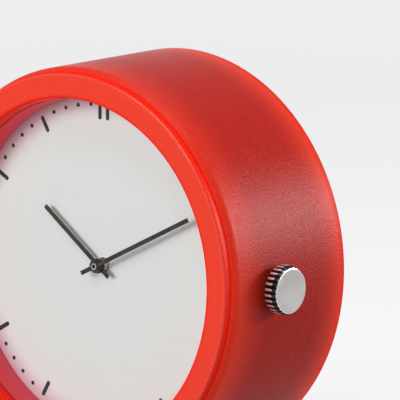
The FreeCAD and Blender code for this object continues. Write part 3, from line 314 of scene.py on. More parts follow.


# ---------------------------------------------------------------------------------------
# Front ring
# The same red plastic, moulded as a ring that plugs into the drum and stands out of it by a
# narrow band. Its face is flat, its outer edge is a crisp rounding that catches the light,
# and its lip slopes in to the window. Its red is painted lighter than the drum's, and its band
# and lip deeper red with a faint emission: painted light where light comes through thin plastic.

RING_RADIUS, RING_BORE, RING_SOLE, WINDOW = 53.6, 49.4, 51.315, 46.9
RING_FACE, RING_LEDGE, RING_END = -12.7, -8.82, 2.8

bezel = lathe("front_ring", rounded([
    (RING_BORE, RING_LEDGE, 0.0), (46.55, RING_LEDGE, 0.0), (WINDOW, RING_FACE, 0.55),
    (RING_RADIUS, RING_FACE, 0.65), (RING_RADIUS, RING_END, 0.0), (RING_BORE, RING_END, 0.0)]),
    trim=flat_below(RING_SOLE, RING_SOLE, 50.0))
# Painted glow: one plastic with the drum, but given a lighter red for the light through its face.
bezel_red, here = frosted_red("frosted_red_ring", (0.70, 0.042, 0.021), (0.83, 0.057, 0.031))
depth, reach = bezel_red.axes(here)[1], bezel_red.radius(here)
# Painted light: the side band and the lip are painted deeper red, and glow faintly at seam and
# lip.
side = depth.between(-12.45, -12.15) * reach.between(53.0, 53.3)
painted_deep_red = side.maths("MAXIMUM", 1 - reach.between(WINDOW, 48.2))
bezel_red.set("Base Color", bezel_red.mix(painted_deep_red, bezel_red.mottled, (0.78, 0.012, 0.002)))
edges = side.maths("MAXIMUM", (1 - reach.between(46.85, 47.05)) * 0.8)
bezel_red.painted_glow(edges, (0.22, 0.004, 0.0))
bezel_red.set("Coat Weight", reach.between(52.7, 53.1) * (1 - side))
bezel_red.set("Coat Roughness", 0.18)
finish_piece(bezel, bezel_red, "case", "red_plastic", "front_bezel")


# ---------------------------------------------------------------------------------------
# Lens
# A flat disc of clear acrylic behind the front ring's lip, polished on both faces. Light for
# the dial and the shadows on it pass straight through.

def rays(paint, *kinds):
    """For each kind of ray, a value that is 1 where the surface is met by one."""
    path = paint.tree.nodes.new("ShaderNodeLightPath")
    return [Socket(paint, path.outputs["Is %s Ray" % kind]) for kind in kinds]


lens_clear = Paint("clear_sheet", (1.0, 1.0, 1.0), 0.015, Transmission_Weight=1.0, IOR=1.13)
shadow, diffuse = rays(lens_clear, "Shadow", "Diffuse")
see_through = lens_clear.node("ShaderNodeBsdfTransparent", {}, Color=(0.93, 0.93, 0.93))
lens_clear.blend_with(see_through, shadow.maths("MAXIMUM", diffuse))


def coat(paint, *names):
    """Give CAD pieces that keep their shape a finished material."""
    for name in names:
        nodes[name].data.materials.clear()
        nodes[name].data.materials.append(paint.material)


coat(lens_clear, "lens")


# ---------------------------------------------------------------------------------------
# Spacer ring
# A satin red ring that stands on the dial and holds the lens off the hands. Its inner wall
# is moulded in fine steps. Its red is painted darker than the front ring's same plastic, as
# painted shade; the steps' ridges are painted paler, as painted highlights, and the whole ring
# has a faint painted glow, which also tints the dial's rim.

SPACER_RADIUS, SPACER_BORE, SPACER_FRONT = 49.3, 46.5, -7.28
STEPS, STEPS_START, STEP_PITCH, STEP_HEIGHT, STEP_TAPER = 10, -7.3, 0.73, 0.10, 0.03

wall = [(SPACER_RADIUS, 0.0), (SPACER_RADIUS, SPACER_FRONT), (SPACER_BORE, SPACER_FRONT)]
for index in range(STEPS):
    y = STEPS_START + index * STEP_PITCH
    r = SPACER_BORE - index * STEP_TAPER
    wall += [(r, y + 0.12), (r - STEP_HEIGHT, y + 0.30), (r - STEP_HEIGHT, y + STEP_PITCH)]
wall[-1] = (wall[-1][0], 0.0)
spacer = lathe("spacer_ring", wall)
# Painted shade: a darker copy of the front ring's red.
spacer_red, here = frosted_red("satin_red", (0.22, 0.013, 0.021), (0.29, 0.024, 0.035), 0.00002)
depth = spacer_red.axes(here)[1]
# Painted highlight: each step's ridge is painted paler.
step = ((depth - STEPS_START) / STEP_PITCH).maths("FRACT")
painted_step_highlight = step.between(0.05, 0.35) * (1 - step.between(0.5, 0.85))
spacer_red.set("Base Color", spacer_red.mix(painted_step_highlight * 0.6, spacer_red.mottled,
                                            (0.50, 0.10, 0.125)))
# Painted glow: a faint emission over the whole ring, which lights the dial's rim.
spacer_red.painted_glow(depth.between(STEPS_START, 0.0), (0.25, 0.018, 0.032),
                         elsewhere=(0.32, 0.013, 0.014))
finish_piece(spacer, spacer_red, "case", "red_ring", "dial_spacer_ring", smooth=20.0)


# ---------------------------------------------------------------------------------------
# Dial
# A disc of matt white card, its rim painted darker and pink: painted shade under the ring
# and the ring's red light. Black ink is printed on it: a round-ended bar at each hour, two
# at twelve, and four small dots in between.

dial_white = Paint("dial_card", (0.80, 0.80, 0.785), 0.62, Specular_IOR_Level=0.25)
here = dial_white.place()
fibre = dial_white.noise(here, 6.0, 4.0, 0.65)
card = dial_white.mix(fibre, (0.69, 0.735, 0.715), (0.71, 0.755, 0.735))
# Painted shade and painted red light: the card grows darker and pinker towards its rim.
rim = dial_white.radius(dial_white.place(AXIS)).between(39.5, 46.8)
dial_white.set("Base Color", dial_white.mix(rim * 0.8, card, (0.54, 0.27, 0.36)))
dial_white.bump(fibre, 0.00002, 0.4)
coat(dial_white, "dial")

ink_black = Paint("printed_ink", (0.016, 0.016, 0.018), 0.5, Specular_IOR_Level=0.25)
speckle = ink_black.noise(ink_black.place(), 9.0, 3.0)
ink_black.set("Base Color", ink_black.mix(speckle, (0.010, 0.010, 0.012),
                                          (0.024, 0.023, 0.026)))


class Tree:
    """A Geometry Nodes tree on a new object, with named inputs."""

    def __init__(self, name, sizes):
        self.group = bpy.data.node_groups.new(name, "GeometryNodeTree")
        face = self.group.interface
        face.new_socket("Geometry", in_out="OUTPUT", socket_type="NodeSocketGeometry")
        self.sizes = {}
        for key, value in sizes.items():
            whole = isinstance(value, int)
            kind = "NodeSocketInt" if whole else "NodeSocketFloat"
            self.sizes[key] = (face.new_socket(key, in_out="INPUT", socket_type=kind), value)
        self.source = self.group.nodes.new("NodeGroupInput")
        self.result = self.group.nodes.new("NodeGroupOutput")

    def size(self, key):
        """A named input."""
        return self.source.outputs[key]

    def add(self, kind, settings=None, *values, **named):
        """Add a node: its settings first, then its inputs in order or by name."""
        node = self.group.nodes.new(kind)
        for key, value in (settings or {}).items():
            setattr(node, key, value)
        by_name = [(key.replace("_", " "), value) for key, value in named.items()]
        for key, value in list(enumerate(values)) + by_name:
            if isinstance(value, bpy.types.NodeSocket):
                self.group.links.new(value, node.inputs[key])
            elif value is not None:
                node.inputs[key].default_value = value
        return node.outputs[0]

    def maths(self, operation, *values):
        return self.add("ShaderNodeMath", {"operation": operation}, *values)

    def times(self, value, factor):
        return self.maths("MULTIPLY", value, factor)

    def vector(self, x, y, z):
        return self.add("ShaderNodeCombineXYZ", {}, x, y, z)

    def row(self, count, apart, start):
        """Points in a straight line."""
        return self.add("GeometryNodeMeshLine", {"mode": "OFFSET"}, Count=count, Offset=apart,
                        Start_Location=start)

    def join(self, kind, parts, socket, **settings):
        """A node that takes several shapes in one socket."""
        node = self.group.nodes.new(kind)
        for key, value in settings.items():
            setattr(node, key, value)
        for part in parts:
            self.group.links.new(part, node.inputs[socket])
        return node.outputs[0]

    def grow(self, name, geometry, paint):
        """Realize the tree as a plain mesh object and drop the modifier."""
        real = self.add("GeometryNodeRealizeInstances", {}, geometry)
        painted = self.add("GeometryNodeSetMaterial", {}, real, None, paint.material)
        self.group.links.new(painted, self.result.inputs[0])
        maker = bpy.data.objects.new(name + "_maker", bpy.data.meshes.new(name + "_maker"))
        bpy.context.scene.collection.objects.link(maker)
        modifier = maker.modifiers.new("grow", "NODES")
        modifier.node_group = self.group
        for socket, value in self.sizes.values():
            modifier[socket.identifier] = value
        bpy.context.view_layer.update()
        shape = maker.evaluated_get(bpy.context.evaluated_depsgraph_get())
        mesh = bpy.data.meshes.new_from_object(shape)
        mesh.name = name
        maker.modifiers.remove(modifier)
        bpy.data.objects.remove(maker)
        piece = bpy.data.objects.new(name, mesh)
        bpy.context.scene.collection.objects.link(piece)
        return piece


HOURS, MINUTES = 12, 60
INK_DEPTH = 0.04 * MM
PRINT_SHIFT = Vector((0.25, 0.01, 0.0)) * MM    # the print sits a little off the middle
FACING_FRONT = math.pi / 2                      # turns a flat shape up from the floor


def printed_bar(tree, length, width):
    """A flat round-ended bar, lying along its own Y."""
    quad = tree.add("GeometryNodeCurvePrimitiveQuadrilateral", {}, width, length)
    soft = tree.add("GeometryNodeFilletCurve", {"mode": "POLY"}, Curve=quad,
                    Radius=tree.times(width, 0.499), Count=8)
    flat = tree.add("GeometryNodeFillCurve", {"mode": "NGONS"}, soft)
    return tree.add("GeometryNodeExtrudeMesh", {}, flat, None, None, INK_DEPTH)


def ring_of(tree, shape, count, radius, skip):
    """Copies of a flat shape on a clock face, facing the front; skip leaves every n-th out."""
    line = tree.add("GeometryNodeMeshLine", {"mode": "OFFSET"}, Count=count)
    number = tree.add("GeometryNodeInputIndex")
    angle = tree.maths("DIVIDE", tree.times(number, 2 * math.pi), count)
    spot = tree.vector(tree.times(tree.maths("SINE", angle), radius), 0.0,
                       tree.times(tree.maths("COSINE", angle), radius))
    laid = tree.add("GeometryNodeSetPosition", {}, line, None, spot)
    kept = tree.maths("GREATER_THAN", tree.maths("MODULO", number, skip), 0.5)
    turn = tree.vector(FACING_FRONT, angle, 0.0)
    return tree.add("GeometryNodeInstanceOnPoints", {}, laid, kept, shape, None, None, turn)


marks = Tree("dial_print", {
    "Bar length": 4.8 * MM, "Bar width": 1.2 * MM, "Bar radius": 42.1 * MM, "Hours": HOURS,
    "Dot width": 1.15 * MM, "Dot radius": 43.9 * MM, "Minutes": MINUTES,
    "Twelve shift": 1.35 * MM,
    "Print turn": math.radians(-1.3)})
bar = printed_bar(marks, marks.size("Bar length"), marks.size("Bar width"))
bars = ring_of(marks, bar, marks.size("Hours"), marks.size("Bar radius"), HOURS)
dot_width = marks.size("Dot width")
dot = printed_bar(marks, marks.times(dot_width, 1.001), dot_width)     # never quite a circle
dots = ring_of(marks, dot, marks.size("Minutes"), marks.size("Dot radius"), MINUTES // HOURS)
shift = marks.size("Twelve shift")
pair = marks.row(2, marks.vector(marks.times(shift, 2.0), 0.0, 0.0),
                 marks.vector(marks.times(shift, -1.0), 0.0, marks.size("Bar radius")))
twelve = marks.add("GeometryNodeInstanceOnPoints", {}, pair, None, bar, None, None,
                   (FACING_FRONT, 0.0, 0.0))
printed = marks.join("GeometryNodeJoinGeometry", (bars, dots, twelve), "Geometry")
turn = marks.vector(0.0, marks.size("Print turn"), 0.0)
seat = marks.add("GeometryNodeTransform", {}, printed, Rotation=turn,
                 Translation=tuple(AXIS + PRINT_SHIFT))
dial_print = marks.grow("dial_print", seat, ink_black)
finish_piece(dial_print, ink_black, "case", "hand_black", smooth=0.0)


# ---------------------------------------------------------------------------------------
# Inner plate
# A white moulded disc behind the dial. Its two posts take the cover's screws, and its hooks
# snap over the ears of the movement.

def moulded(name, color, tint, roughness, grain_scale=1.6, skin=0.00003):
    """Plain moulded plastic: a faint cloud in its colour and a fine skin."""
    paint = Paint(name, color, roughness)
    here = paint.place(AXIS)
    grain = paint.noise(here, grain_scale, 3.0, 0.6)
    cloud = paint.noise(here, 0.15, 2.0)
    paint.set("Base Color", paint.mix(cloud * 0.6 + grain * 0.4, color, tint))
    paint.set("Roughness", roughness - 0.06 + grain * 0.12)
    paint.bump(grain, skin, 0.5)
    return paint


inner_white = moulded("moulded_white", (0.80, 0.79, 0.76), (0.84, 0.83, 0.80), 0.5)
coat(inner_white, "inner_plate")


# ---------------------------------------------------------------------------------------
# Movement case
# A black base plate and a deep black cup over the train, both injection moulded with a
# matt skin. The cup's back is pierced for the pivots and the alarm's shaft.

movement_black = moulded("moulded_black", (0.030, 0.030, 0.033), (0.045, 0.045, 0.048), 0.5, 2.2)
coat(movement_black, "movement_front_plate", "movement_housing")


# ---------------------------------------------------------------------------------------
# Wheels
# Natural white gear plastic, moulded with fine rings from the turned tool. They run dry on
# pins of the base plate and in the cup's bearing holes.

gear_white = moulded("gear_plastic", (0.78, 0.76, 0.68), (0.84, 0.82, 0.75), 0.42, 2.8, 0.00001)
coat(gear_white, "hour_wheel", "motion_wheel", "centre_wheel", "intermediate_wheel",
     "rotor_pinion", "alarm_wheel")


# ---------------------------------------------------------------------------------------
# Arbor, stem, clutch spring and contacts
# The centre arbor and the crown's stem are turned from bright steel; the battery's leaf and
# plate are stamped from nickel-plated strip, and the clutch spring from rolled brass.

def bare_metal(name, color, dull, roughness, stretch, relief=0.000004):
    """Bare metal with fine lines, stretched along the axes in which it was worked."""
    paint = Paint(name, color, roughness, Metallic=1.0)
    here = paint.place(AXIS)
    drawn = paint.node("ShaderNodeVectorMath", {"operation": "MULTIPLY"}, here, stretch)
    lines = paint.noise(drawn, 1.0, 4.0, 0.6)
    cloud = paint.noise(here, 0.4, 2.0)
    paint.set("Base Color", paint.mix(lines * 0.6 + cloud * 0.4, color, dull))
    paint.set("Roughness", roughness - 0.07 + lines * 0.14)
    paint.bump(lines, relief, 0.4)
    return paint


turned_steel = bare_metal("turned_steel", (0.34, 0.33, 0.32), (0.24, 0.23, 0.225), 0.3,
                          (1.0, 9.0, 1.0))
coat(turned_steel, "minute_arbor")
stem_steel = bare_metal("stem_steel", (0.60, 0.59, 0.57), (0.45, 0.44, 0.43), 0.3,
                        (9.0, 1.0, 1.0))
coat(stem_steel, "crown_stem")
strip_nickel = bare_metal("strip_nickel", (0.66, 0.64, 0.60), (0.52, 0.50, 0.47), 0.28,
                          (1.0, 1.5, 8.0))
coat(strip_nickel, "battery_spring", "battery_contact")
spring_brass = bare_metal("spring_brass", (0.72, 0.52, 0.24), (0.60, 0.42, 0.18), 0.3,
                          (6.0, 1.0, 1.0))
coat(spring_brass, "clutch_spring")


# ---------------------------------------------------------------------------------------
# Motor
# A magnet ring on the rotor, a stamped soft-iron yoke round it, and a coil of lacquered
# copper wire on the yoke's iron bar.

magnet_dark = moulded("sintered_magnet", (0.055, 0.055, 0.060), (0.085, 0.085, 0.090), 0.45, 3.5)
coat(magnet_dark, "rotor_magnet")
yoke_iron = bare_metal("yoke_iron", (0.42, 0.41, 0.40), (0.30, 0.29, 0.28), 0.42, (1.0, 1.0, 6.0))
coat(yoke_iron, "stator", "coil_core")

wound_copper = Paint("wound_copper", (0.60, 0.22, 0.08), 0.32, Metallic=0.85)
here = wound_copper.place(AXIS)
along = wound_copper.axes(here)[2]
wobble = wound_copper.noise(here, 0.5, 2.0)
turns = (along * 42.0 + wobble * 3.0).maths("SINE") * 0.5 + 0.5
wound_copper.set("Base Color", wound_copper.mix(turns, (0.34, 0.10, 0.035), (0.72, 0.29, 0.11)))
wound_copper.bump(turns, 0.00004, 0.8)
coat(wound_copper, "coil_winding")


# ---------------------------------------------------------------------------------------
# Circuit board, chip and crystal
# A green lacquered board with copper tracks under the lacquer, a black chip without
# lettering, and the drawn metal can of the quartz crystal.

board_green = Paint("board_lacquer", (0.012, 0.11, 0.045), 0.3)
here = board_green.place(AXIS)
x, _, z = board_green.axes(here)
bend = board_green.noise(here, 0.18, 1.0)
across = (x * 0.62 + bend * 4.0).maths("FRACT")
down = (z * 0.62 - bend * 3.0).maths("FRACT")
upright = across.between(0.16, 0.20) * (1 - across.between(0.42, 0.46))
level = down.between(0.30, 0.34) * (1 - down.between(0.50, 0.54))
track = 1 - (1 - upright) * (1 - level)
board_green.set("Base Color", board_green.mix(track, (0.010, 0.10, 0.040), (0.030, 0.21, 0.075)))
board_green.set("Roughness", 0.26 + board_green.noise(here, 2.0, 2.0) * 0.1)
board_green.bump(track, 0.00003, 0.6)
coat(board_green, "circuit_board")
chip_black = moulded("chip_black", (0.018, 0.018, 0.020), (0.030, 0.030, 0.032), 0.45, 4.0)
coat(chip_black, "controller_chip")
can_metal = bare_metal("drawn_can", (0.68, 0.67, 0.65), (0.55, 0.54, 0.52), 0.25, (1.0, 1.0, 0.3))
coat(can_metal, "quartz_crystal")


# ---------------------------------------------------------------------------------------
# Buzzer and alarm shaft
# The sounder is a black moulded can bonded to the cover; the shaft is moulded in the same
# black plastic as the knob that it carries.

control_black = moulded("control_black", (0.028, 0.028, 0.030), (0.042, 0.042, 0.045), 0.42, 2.6)
coat(control_black, "alarm_shaft", "buzzer")


# ---------------------------------------------------------------------------------------
# Rear cover
# A red moulded plate, let into the drum up to its free rim. It carries the battery bay, the
# sound slots, the switch's slot and a ring of raised marks round the alarm knob.

def softened(name, node, width, angle=35.0):
    """A copy of a CAD piece with its crisp edges rounded, as a mould leaves them."""
    work = bmesh.new()
    work.from_mesh(nodes[node].data)
    bmesh.ops.remove_doubles(work, verts=work.verts, dist=WELD_CAD)
    bmesh.ops.dissolve_limit(work, angle_limit=math.radians(0.5), verts=work.verts,
                             edges=work.edges)
    crisp = [edge for edge in work.edges if len(edge.link_faces) == 2
             and edge.calc_face_angle() > math.radians(angle)]
    bmesh.ops.bevel(work, geom=crisp, offset=width * MM, offset_type="OFFSET", segments=2,
                    profile=0.5, affect="EDGES", clamp_overlap=True)
    return add_mesh(name, work)


cover = softened("cover_plate", "rear_cover", 0.12)
cover_red, here = frosted_red("moulded_red", (0.70, 0.040, 0.026), (0.78, 0.050, 0.032), 0.00006)
# Painted shade: the grooves, the finger notch and other recesses of cover and door go darker.
recess_painted_shade = 1 - cover_red.axes(here)[1].between(31.9, 32.5)     # grooves and the finger notch
cover_red.set("Base Color", cover_red.mix(recess_painted_shade * 0.6, cover_red.mottled,
                                          (0.22, 0.008, 0.006)))
finish_piece(cover, cover_red, "case", "red_plastic", "rear_cover")


# ---------------------------------------------------------------------------------------
# Battery
# An AA cell: a steel can in a plain printed sleeve, dark grey with a copper-coloured band
# at its positive end, and bare steel at both ends.

cell = Paint("cell_sleeve", (0.04, 0.04, 0.045), 0.3)
here = cell.place(AXIS)
length = cell.axes(here)[0]
bare = 1 - length.between(-24.9, -24.8) * (1 - length.between(23.5, 23.6))
band = length.between(12.0, 12.1)
scuff = cell.noise(here, 1.2, 3.0)
sleeve = cell.mix(band, (0.035, 0.035, 0.040), (0.62, 0.27, 0.10))
sleeve = cell.mix(scuff * 0.2, sleeve, (0.10, 0.10, 0.11))
cell.set("Base Color", cell.mix(bare, sleeve, (0.62, 0.60, 0.57)))
cell.set("Metallic", bare * 0.8 + band * (1 - bare) * 0.4)
cell.set("Roughness", 0.26 + scuff * 0.12)
coat(cell, "battery")


# ---------------------------------------------------------------------------------------
# Battery door
# A lid of the same red plastic. Two pins at its lower edge snap into the cover and a sprung
# tongue catches at the top, under three grip grooves.

door = softened("bay_door", "battery_door", 0.12)
finish_piece(door, cover_red, "door_group", "red_plastic", "battery_door")


# ---------------------------------------------------------------------------------------
# Cover screws
# Two zinc-plated steel screws with chamfered heads and a straight slot; they bite into the
# posts of the inner plate.

screw_zinc = bare_metal("zinc_plate", (0.58, 0.58, 0.57), (0.42, 0.42, 0.42), 0.34,
                        (5.0, 1.0, 5.0))

FACING_BACK = -math.pi / 2      # turns a screw's head away from the dial
SLOT_TURN = 0.9                 # radians between the slots of the two screws

screws = Tree("slotted_screws", {
    "Head radius": 2.1 * MM, "Head height": 1.4 * MM, "Chamfer": 0.4 * MM,
    "Shank radius": 1.0 * MM, "Shank length": 9.0 * MM, "Slot width": 0.7 * MM,
    "Slot depth": 0.7 * MM, "Post across": 42.57 * MM, "Post up": 15.49 * MM, "Seat": 32.8 * MM})


def stacked(tree, kind, height, start, **values):
    """A primitive that stands on a given level along Z; cylinders are centred, cones aren't."""
    solid = tree.add(kind, {}, **values)
    if kind.endswith("Cylinder"):
        start = tree.maths("ADD", start, tree.times(height, 0.5))
    return tree.add("GeometryNodeTransform", {}, solid, Translation=tree.vector(0.0, 0.0, start))


head, height = screws.size("Head radius"), screws.size("Head height")
chamfer, shank = screws.size("Chamfer"), screws.size("Shank length")
straight = screws.maths("SUBTRACT", height, chamfer)
solids = [
    stacked(screws, "GeometryNodeMeshCylinder", straight, 0.0,
            Vertices=64, Radius=head, Depth=straight),
    stacked(screws, "GeometryNodeMeshCone", chamfer, straight,
            Vertices=64, Radius_Bottom=head, Radius_Top=screws.maths("SUBTRACT", head, chamfer),
            Depth=chamfer),
    stacked(screws, "GeometryNodeMeshCylinder", shank, screws.times(shank, -1.0),
            Vertices=48, Radius=screws.size("Shank radius"), Depth=shank)]
whole = screws.join("GeometryNodeMeshBoolean", solids, "Mesh 2", operation="UNION")
cutter_size = screws.vector(screws.times(head, 2.2), screws.size("Slot width"),
                            screws.times(screws.size("Slot depth"), 2.0))
cutter = screws.add("GeometryNodeMeshCube", {}, cutter_size)
cutter = screws.add("GeometryNodeTransform", {}, cutter,
                    Translation=screws.vector(0.0, 0.0, height))
slotted = screws.add("GeometryNodeMeshBoolean", {"operation": "DIFFERENCE"}, whole, cutter)
across = screws.size("Post across")
pair = screws.row(2, screws.vector(screws.times(across, -2.0), 0.0, 0.0),
                  screws.vector(across, screws.size("Seat"), screws.size("Post up")))
turned_by = screws.times(screws.add("GeometryNodeInputIndex"), SLOT_TURN)
driven = screws.add("GeometryNodeInstanceOnPoints", {}, pair, None, slotted, None, None,
                    screws.vector(FACING_BACK, turned_by, 0.0))
driven = screws.add("GeometryNodeTransform", {}, driven, Translation=tuple(AXIS))
cover_screws = screws.grow("cover_screw_pair", driven, screw_zinc)
finish_piece(cover_screws, screw_zinc, "case", "screw_steel", "cover_screws")


# ---------------------------------------------------------------------------------------
# Alarm knob and switch
# Black moulded controls on the back: a fluted knob with a raised pointer, pressed on the
# alarm shaft, and a sliding thumb button that snaps through its slot in the cover.

knob = softened("fluted_knob", "alarm_knob", 0.10)
finish_piece(knob, control_black, "alarm_setting_group", "control_black", "alarm_knob")
thumb = softened("thumb_slide", "alarm_switch", 0.08)
finish_piece(thumb, control_black, "switch_group", "control_black", "alarm_switch")


# ---------------------------------------------------------------------------------------
# Crown
# Turned and knurled brass under bright chrome: a flat satin face with a polished edge, a
# long chamfer, and 26 deep flutes. The valleys and the chamfer are painted near black:
# painted shade and painted dark reflections.

CROWN_FRONT, CROWN_BACK = 60.2, 56.4
CROWN_RADIUS, CROWN_FACE = 6.8, 6.25
CROWN_EASE, CROWN_CHAMFER = 0.22, 1.35
FLUTES, FLUTE_DEPTH, FLUTE_HALF, LAND_RISE = 26, 0.78, 0.34, 0.10
CHAMFER_STEPS, POINTS_PER_FLUTE = 10, 20


def fluted(r, place, angle):
    """The rim's radius: V-shaped flutes all round, cut through the front chamfer."""
    if r > CROWN_FACE - 0.01:
        turn = (angle * FLUTES / (2 * math.pi)) % 1.0 - 0.5
        valley = max(0.0, 1.0 - abs(turn) / FLUTE_HALF)
        land = LAND_RISE * (abs(turn) / 0.5) ** 2
        tooth = CROWN_RADIUS - LAND_RISE + land - FLUTE_DEPTH * valley
        r = min(r, tooth)
    return r * math.sin(angle), r * math.cos(angle)


edge = [(CROWN_FACE - 0.48, CROWN_FRONT), (CROWN_FACE - 0.30, CROWN_FRONT - 0.03),
        (CROWN_FACE - 0.12, CROWN_FRONT - 0.10), (CROWN_FACE, CROWN_FRONT - CROWN_EASE)]
chamfered = [(CROWN_FACE + (CROWN_RADIUS - CROWN_FACE) * step / CHAMFER_STEPS,
              CROWN_FRONT - CROWN_EASE - CROWN_CHAMFER * step / CHAMFER_STEPS)
             for step in range(1, CHAMFER_STEPS + 1)]
rim = [(CROWN_RADIUS, CROWN_BACK + 0.3), (CROWN_RADIUS - 0.25, CROWN_BACK)]
crown = lathe("crown_cap", [(0, CROWN_FRONT)] + edge + chamfered + rim + [
    (5.9, CROWN_BACK), (1.0, CROWN_BACK), (1.0, CROWN_BACK + 3.0), (0, CROWN_BACK + 3.0)],
    crown_centre, along="X", segments=FLUTES * POINTS_PER_FLUTE, trim=fluted)

crown_metal = Paint("chromed_crown", (0.62, 0.61, 0.60), 0.25, Metallic=1.0)
here = crown_metal.place(crown_centre)
x, reach = crown_metal.axes(here)[0], crown_metal.radius(here, "X")
front = x.between(CROWN_FRONT - 0.04, CROWN_FRONT - 0.01)
face = x.between(CROWN_FRONT - 0.24, CROWN_FRONT - 0.20)
# Painted shade and reflection: the flutes' valleys and the chamfer by the face go near black.
tooth_end = (x + (CROWN_RADIUS - reach) * 2.0).between(CROWN_FRONT - 1.35, CROWN_FRONT - 1.2)
painted_valley_shade = (1 - (1 - tooth_end) * reach.between(6.48, 6.72)) * (1 - face)
outwards = crown_metal.node("ShaderNodeCombineXYZ", {}, reach, 0.0, 0.0)
rings = crown_metal.noise(outwards, 6.0, 3.0)
cloud = crown_metal.noise(here, 0.12, 1.0).between(0.35, 0.65)
plate = crown_metal.mix(cloud, (0.40, 0.38, 0.37), (0.465, 0.452, 0.443))
plate = crown_metal.mix(front, (0.97, 0.95, 0.94), plate)
crown_metal.set("Base Color", crown_metal.mix(painted_valley_shade * 0.97, plate, (0.020, 0.012, 0.012)))
crown_metal.set("Metallic", 1 - 0.2 * (1 - face))
crown_metal.set("Roughness", 0.13 + front * (0.14 + rings * 0.06))
crown_metal.bump(rings, 0.000004, 0.25)
finish_piece(crown, crown_metal, "crown_group", "polished_chrome", "crown", smooth=25.0)


# ---------------------------------------------------------------------------------------
# Hands
# Straight brass strips, square at both ends and painted satin black, each riveted to a
# round boss that is pressed on its pipe; the hour hand sits behind the minute hand.

hand_black = Paint("hand_paint", (0.022, 0.020, 0.018), 0.34, Specular_IOR_Level=0.22)
here = hand_black.place(AXIS)
orange_peel = hand_black.noise(here, 3.0, 2.0)
hand_black.set("Base Color", hand_black.mix(orange_peel, (0.017, 0.016, 0.014),
                                            (0.028, 0.026, 0.023)))
hand_black.set("Roughness", 0.30 + orange_peel * 0.1)
hand_black.bump(orange_peel, 0.00001, 0.4)

HALF_BLADE, EASED = 0.175, 0.07     # half the strip's thickness, and its eased edge's width


def clock_hand(name, body, node, *, angle, height, length, tail, width, boss, boss_height, pipe):
    """A straight hand: a blade and a tail with eased edges, and a stepped boss."""
    near, far = -height - boss_height / 2, -height + boss_height / 2
    boss_profile = rounded([
        (pipe, near, 0.0), (pipe + 0.34, near, 0.08), (pipe + 0.42, near + 0.16, 0.0),
        (boss - 0.16, near + 0.16, 0.10), (boss, near + 0.34, 0.08), (boss, far, 0.06),
        (pipe, far, 0.0)], steps=3)
    piece = lathe(name, boss_profile, segments=96)
    work = bmesh.new()
    work.from_mesh(piece.data)
    along = Vector((math.sin(angle), 0.0, math.cos(angle)))
    aside = Vector((math.cos(angle), 0.0, -math.sin(angle)))
    for start, end in ((pipe + 0.45, length), (-tail, -pipe - 0.45)):
        corners = []
        for inset, y in ((EASED, -HALF_BLADE), (0.0, EASED - HALF_BLADE), (0.0, HALF_BLADE)):
            low, high = start + (inset if start < 0 else 0), end - (inset if start > 0 else 0)
            half = width / 2 - inset
            corners.append([work.verts.new(AXIS + (
                along * reach + aside * side + Vector((0.0, y - height, 0.0))) * MM)
                for reach, side in ((low, -half), (high, -half), (high, half), (low, half))])
        work.faces.new(corners[0])
        work.faces.new(corners[-1])
        for upper, lower in zip(corners, corners[1:]):
            for index in range(4):
                other = (index + 1) % 4
                work.faces.new((upper[index], upper[other], lower[other], lower[index]))
    bmesh.ops.recalc_face_normals(work, faces=work.faces)
    work.to_mesh(piece.data)
    work.free()
    finish_piece(piece, hand_black, body, "hand_black", node, smooth=25.0)


clock_hand("hour_blade", "hour_group", "hour_hand", angle=math.radians(306.0), height=2.2,
           length=23.8, tail=4.5, width=1.2, boss=2.0, boss_height=1.0, pipe=1.55)
clock_hand("minute_blade", "minute_group", "minute_hand", angle=math.radians(62.5), height=3.65,
           length=36.9, tail=5.4, width=1.2, boss=1.8, boss_height=0.85, pipe=0.95)


# ---------------------------------------------------------------------------------------
# Camera
# It stands where the photograph's did: far off, so that lines hardly converge, and with the
# drum's middle at the same pixel. Scale, place and angles were fitted to the rims' outlines.

YAW, PITCH, ROLL = 40.19, 10.27, 0.97           # degrees
FIT_SCALE, FIT_X, FIT_Y = 203.14, 104.09, 264.58    # pixels to a drum radius, pixels, pixels
DISTANCE = 50.0                                 # drum radii
PICTURE, SENSOR = 400.0, 36.0                   # pixels, millimetres

yaw, pitch, roll = (math.radians(angle) for angle in (YAW, PITCH, ROLL))
forward = Vector((-math.sin(yaw) * math.cos(pitch), math.cos(yaw) * math.cos(pitch),
                  -math.sin(pitch)))
right = Vector((math.cos(yaw), math.sin(yaw), 0.0))
up = right.cross(forward)
right, up = (right * math.cos(roll) + up * math.sin(roll),
             up * math.cos(roll) - right * math.sin(roll))
focal = FIT_SCALE * DISTANCE
across = (FIT_X - PICTURE / 2) / focal * DISTANCE
down = -(FIT_Y - PICTURE / 2) / focal * DISTANCE
eye = (-across * right - down * up - DISTANCE * forward) * (DRUM_RADIUS * MM) + AXIS

lens_data = bpy.data.cameras.new("camera")
lens_data.sensor_width = SENSOR
lens_data.lens = focal / PICTURE * SENSOR
lens_data.clip_start = 0.1
lens_data.clip_end = 50.0
camera = bpy.data.objects.new("camera", lens_data)
bpy.context.scene.collection.objects.link(camera)
camera.matrix_world = Matrix((
    (right.x, up.x, -forward.x, eye.x), (right.y, up.y, -forward.y, eye.y),
    (right.z, up.z, -forward.z, eye.z), (0.0, 0.0, 0.0, 1.0)))
bpy.context.scene.camera = camera


# ---------------------------------------------------------------------------------------
# Lamps
# Soft boxes round the clock: a broad one in front, one overhead and a low one behind, and at
# the right rear a strip that casts the crown's shadow, with a twin seen only as the sheen.

LAMP_AIM = Vector((0.0, 0.0, 0.05))
KEY, TOP, BACK, STRIP, SHEEN, GLINT = 15.9, 8.2, 2.6, 5.6, 6.6, 2.4     # watts


